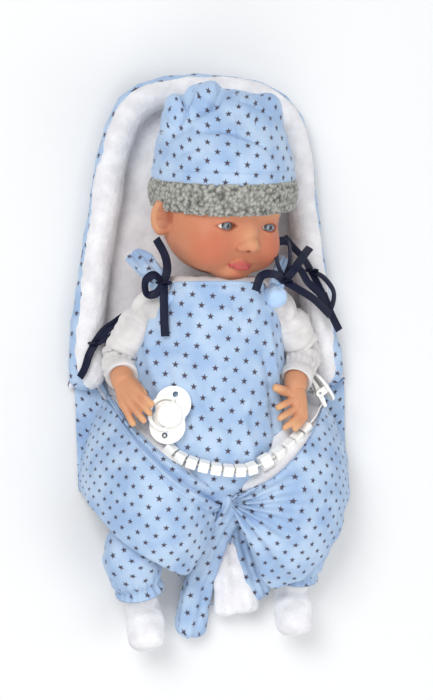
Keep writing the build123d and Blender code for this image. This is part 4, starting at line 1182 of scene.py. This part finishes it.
def flap(side):
    """Front of the swaddle folded over one bent leg and drawn in to the knot."""
    across, down = 170, 120
    share, drop = np.meshgrid(np.linspace(0, 1, across), np.linspace(0, 1, down), indexing="ij")
    top = smooth_path(FLAP_TOPS[side], across)[:, None]
    hem = smooth_path(FLAP_HEMS[side], across)[:, None]
    flat = top + (hem - top) * drop[..., None]
    height = dome_height(side, flat[..., 0], flat[..., 1])
    # where the outline runs out past the dome the cloth turns down to the sheet
    spots = np.dstack([flat, np.maximum(height, 5.5)])
    knot = np.array(FLAP_KNOTS[side])
    reach = np.linalg.norm(spots[..., :2] - knot[:2], axis=-1)
    angle = np.arctan2(spots[..., 1] - knot[1], np.abs(spots[..., 0] - knot[0]) + 1e-6)
    seed = 81 if side == "right" else 91
    drift = wander(spots, 45, seed)
    if side == "right":
        # rolled upper edge, with one long fold running beside it
        edge = drop * np.linalg.norm(hem - top, axis=-1)
        folds = 4.2 * np.exp(-((edge - 6) / 5) ** 2) - 3.4 * np.exp(-((edge - 14 - 2 * drift) / 2.6) ** 2)
        folds += 2.6 * np.exp(-((edge - 20 - 3 * drift) / 4) ** 2) * np.clip((share - 0.25) / 0.3, 0, 1)
        folds -= 1.6 * np.exp(-((edge - 27 - 4 * drift) / 2.5) ** 2) * np.clip((share - 0.35) / 0.3, 0, 1)
        folds += 1.3 * np.sin(angle * 16 + drift * 2) * np.exp(-reach / 26)
        folds += 1.6 * drift
    else:
        fan = np.sin(angle * 21 + drift * 1.6)
        folds = 2.6 * np.sign(fan) * np.abs(fan) ** 0.8 * np.exp(-reach / 75) * np.clip(reach / 10, 0, 1)
        folds += 1.3 * drift
    folds += 0.5 * wander(spots, 11, seed + 2)
    normal = facing(spots)
    normal *= np.sign(normal[..., 2:3] + 1e-9)
    spots = spots + normal * folds[..., None]
    (cx, cy, _), _ = FLAP_DOMES[side]
    away = np.dstack([spots[..., 0] - cx, spots[..., 1] - cy])
    away /= np.maximum(np.linalg.norm(away, axis=-1, keepdims=True), 1e-6)
    # laid flat, the cloth spreads outwards by most of what it drops over the leg
    laid = spots[..., :2] + away * (90 - height)[..., None] * 0.65
    pinch = np.exp(-(reach / 13) ** 2)[..., None]
    spots = spots * (1 - 0.45 * pinch) + knot * 0.45 * pinch
    # the fleece lining shows where the upper edge stands away from the tummy
    brim = spots[:, 0]
    along = np.gradient(brim, axis=0)
    inward = np.stack([-along[:, 1], along[:, 0], 0 * along[:, 0]], axis=-1)
    inward /= np.maximum(np.linalg.norm(inward, axis=1, keepdims=True), 1e-6)
    inward *= np.sign(np.sum(inward * (np.array((0, -20, 0)) - brim), axis=1))[:, None]
    lining = np.stack(
        [brim + inward * step + (0, 0, -4 - 0.85 * step) for step in np.linspace(0, 28, 14)], axis=1
    )
    lining[..., 2] = np.maximum(lining[..., 2], 5.5)
    lining = crumple(lining, 1.0, 10, seed + 5)
    lining = cloth_grid(side + "_flap_lining", lining, FLEECE, None, thickness=1.5)
    lip = []
    for turn in (2.4, 1.7, 0.9):
        curl = np.array((0, -1.8 * math.sin(turn), -2.4 - 2.0 * math.cos(turn)))
        lip.append(spots[:, 0] + curl)
    spots = np.concatenate([np.stack(lip, axis=1), spots], axis=1)
    laid = np.concatenate([laid[:, :1] + np.array((0, step)) for step in (9, 6, 3)] + [laid], axis=1)
    spots[..., 2] = np.maximum(spots[..., 2], 4.5)
    piece = cloth_grid(side + "_star_flap", spots, STAR, None, (side + "_flap",), thickness=2.2, laid=laid)
    hip = (RIGHT_LEG if side == "right" else LEFT_LEG)[0]
    return (piece, lining), hip


def strip(name, points, widths, material, replaced, seed, flat, twist):
    """A hanging fold of cloth: a soft flattened tube along given points."""
    count = 24 * len(points)
    path = smooth_path(points, count)
    radii = np.interp(np.linspace(0, 1, count), np.linspace(0, 1, len(widths)), widths)
    radii = radii * rounded_ends(count, (1, 1), 0.05)
    spots = tube(path, radii, 56, flat=flat, up=(0.01, 0.02, 1))
    turn = np.linspace(0, 2 * math.pi, 57)[:, None]
    share = np.linspace(0, 1, count)[None]
    grooves = 1.7 * np.sin(turn * 3 + share * twist) + 0.9 * np.sin(turn * 7 - share * twist * 1.5)
    spots = spots + outward_from(spots, path) * (grooves * np.clip(radii / 9, 0, 1))[..., None]
    spots = crumple(spots, 1.2, 14, seed)
    spots[..., 2] = np.maximum(spots[..., 2], 4.8)
    cloth_grid(name, spots, material, "torso", replaced, wrap=True)


def knot_and_tails():
    """The flaps cross and twist into two tails over the fleece between the legs."""
    strip(
        "left_star_tail",
        [(12, -96, 62), (12, -112, 58), (4, -132, 42), (-4, -158, 27), (-12, -188, 18), (-17, -222, 14)],
        [7, 8, 9.5, 11, 13, 12], STAR, ("right_tail",), 101, 0.75, 2.2,
    )
    strip("right_star_tail", [(15, -104, 60), (20, -124, 45), (27, -146, 28), (37, -172, 20), (46, -190, 15)],
          [6, 7, 7.5, 9, 7], STAR, ("left_tail",), 103, 0.8, 1.2)
    strip("star_tail_edge", [(16, -112, 52), (17, -134, 33), (22, -160, 20), (31, -184, 16), (38, -200, 12)],
          [4, 4.5, 5, 5.5, 4], STAR, (), 105, 0.8, 0.5)
    strip("fleece_tongue", [(12, -110, 42), (14, -136, 31), (20, -168, 20), (24, -203, 15)],
          [2, 9, 16, 18], FLEECE, ("fleece_lining",), 107, 0.55, 0.0)


# the flaps join no body; their transforms are baked into their meshes
swaddle_sheet()
swaddle_roll()
for side in ("right", "left"):
    pieces, hip = flap(side)
    for piece in pieces:
        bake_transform(piece)
knot_and_tails()


# ---------------------------------------------------------------- shoulders, pompoms and ribbons
def shoulder_puffs():
    """Gathered shirt cloth between the collar and each sleeve, and the print bunched under the right tie."""
    for name, side, seed in (("right_yoke_gather", -1, 111), ("left_yoke_gather", 1, 113)):
        strip(name, [(side * 22, 64, 66), (side * 38, 60, 64), (side * 52, 50, 57), (side * 58, 38, 52)],
              [10, 13, 15, 11], SHADED_JERSEY, (), seed, 0.95, 6.0)
    strip("bunched_star_strap", [(-68, 94, 46), (-60, 85, 58), (-52, 75, 69), (-46, 64, 76)],
          [6, 9, 8.5, 6], STAR, ("right_strap",), 115, 0.7, 3.0)
    strip(
        "left_star_strap", [(58, 92, 56), (52, 80, 66), (46, 68, 75)], [5, 6.5, 6], COTTON, ("left_strap",),
        117, 0.6, 2.0,
    )


def pompom(name, centre, radius, seed):
    """Stuffed cotton ball, drawn in at its stitched crown."""
    maker = bmesh.new()
    bmesh.ops.create_icosphere(maker, subdivisions=5, radius=radius)
    crown = Vector((0.25, 0.75, 0.6)).normalized()
    for vert in maker.verts:
        way = vert.co.normalized()
        tilt = way.angle(crown)
        spin = math.atan2(way.cross(crown).length, way.dot(crown))
        ridge = math.sin(7 * math.atan2(way.x - crown.x, way.z - crown.z)) * math.exp(-(tilt / 0.7) ** 2)
        push = 0.3 * ridge - 1.6 * math.exp(-(spin / 0.4) ** 2)
        push += 0.5 * noise.fractal(way * 1.3 + Vector((seed, 0, 0)), 1.0, 2.0, 2)
        vert.co = Vector(centre) + way * (radius - 0.4 + push)
    piece = publish(maker, name + "_cotton", COTTON, "torso", (name,))


RIBBON_HALF = 3.4
FRONT = (0.0, 0.0, 1.0)


def ribbon_band(points, faces, twist):
    """Points of a flat ribbon: along its given line, turned to face a direction, easing into a twist."""
    count = 16 * len(points)
    path = smooth_path(points, count)
    along = np.gradient(path, axis=0)
    along /= np.linalg.norm(along, axis=1)[:, None]
    across = np.cross(np.array(faces, float), along)
    across /= np.maximum(np.linalg.norm(across, axis=1)[:, None], 1e-6)
    rise = np.cross(along, across)
    angle = (np.linspace(0, 1, count) * twist)[:, None]
    width = across * np.cos(angle) + rise * np.sin(angle)
    share = np.linspace(-1, 1, 9)[:, None, None]
    cup = (1 - share ** 2) * 0.35
    return path + width * RIBBON_HALF * share + rise * cup


def bow(name, knot, size, ends, replaced):
    """Satin ribbon tied at a knot: every tail or loop is its own flat band, with a crossed wrap over them."""
    for index, (points, faces, twist) in enumerate(ends):
        cloth_grid(
            f"{name}_{index}", ribbon_band([knot] + points, faces, twist), SATIN, "torso",
            () if index else replaced, thickness=0.5,
        )
    wrap_path = []
    for turn in np.linspace(0, 2 * math.pi, 14):
        wrap_path.append((
            knot[0] + size * math.cos(turn),
            knot[1] + 0.8 * math.sin(turn * 2),
            knot[2] + size * 0.75 * math.sin(turn),
        ))
    spots = tube(wrap_path, 2.6, 16, flat=0.35, up=(0, 1, 0))
    spots[:, -1] = spots[:, 0]
    cloth_grid(name + "_wrap", crumple(spots, 0.4, 4, 5), SATIN, "torso", wrap=True)


shoulder_puffs()
pompom("right_pompom", (-43, 57, 75), 7.2, 3)
pompom("left_pompom", (45, 59, 78), 10.0, 9)
bow("right_ribbon", (-46, 69, 80), 4.2, [
    ([(-46.5, 56, 85), (-46, 38, 84), (-45, 26, 82)], FRONT, 0.15),
    ([(-43, 80, 78), (-44, 92, 71), (-50, 106, 62)], FRONT, -0.5),
    ([(-54, 75, 83), (-61, 70, 84), (-60, 60, 83), (-53, 60, 84), (-47, 67, 82)], (0.5, 0.2, 0.8), 0.0),
], ("right_ribbon",))
bow("left_ribbon", (54, 72, 74), 4.4, [
    ([(42, 76, 92), (30, 74, 100), (25, 62, 100)], FRONT, 0.2),
    ([(64, 66, 75), (80, 58, 66), (97, 46, 50)], (0.2, 0.3, 0.9), 0.3),
    ([(62, 82, 74), (72, 94, 62), (80, 102, 50)], (0.2, 0.2, 0.9), -0.3),
    ([(47, 88, 78), (50, 104, 66), (60, 104, 60), (60, 88, 66), (55, 76, 72)], (0.8, 0.1, 0.6), 0.0),
    ([(66, 84, 66), (76, 72, 62), (88, 62, 56), (92, 52, 50)], (0.4, 0.4, 0.8), 0.6),
], ("left_ribbon",))
bow("left_swaddle_ribbon", (84, 84, 36), 4.0, [
    ([(76, 94, 42), (66, 104, 44), (60, 112, 42)], (0.2, 0.3, 0.9), 0.2),
    ([(94, 78, 40), (103, 66, 38), (101, 54, 36), (96, 66, 34)], (0.7, 0.2, 0.7), 0.0),
    ([(92, 66, 40), (100, 48, 40), (108, 34, 36)], (0.4, 0.2, 0.9), 0.3),
], ("left_swaddle_ribbon",))
bow("right_swaddle_ribbon", (-97, 22, 33), 3.6, [
    ([(-90, 32, 36), (-82, 38, 37), (-74, 44, 37)], FRONT, 0.4),
    ([(-102, 12, 34), (-105, 2, 32), (-109, -6, 29)], (-0.3, 0.2, 0.9), 0.2),
    ([(-92, 24, 39), (-84, 28, 42), (-80, 34, 42), (-86, 34, 39), (-94, 26, 35)], (0.1, 0.6, 0.7), 0.0),
], ("right_swaddle_ribbon",))
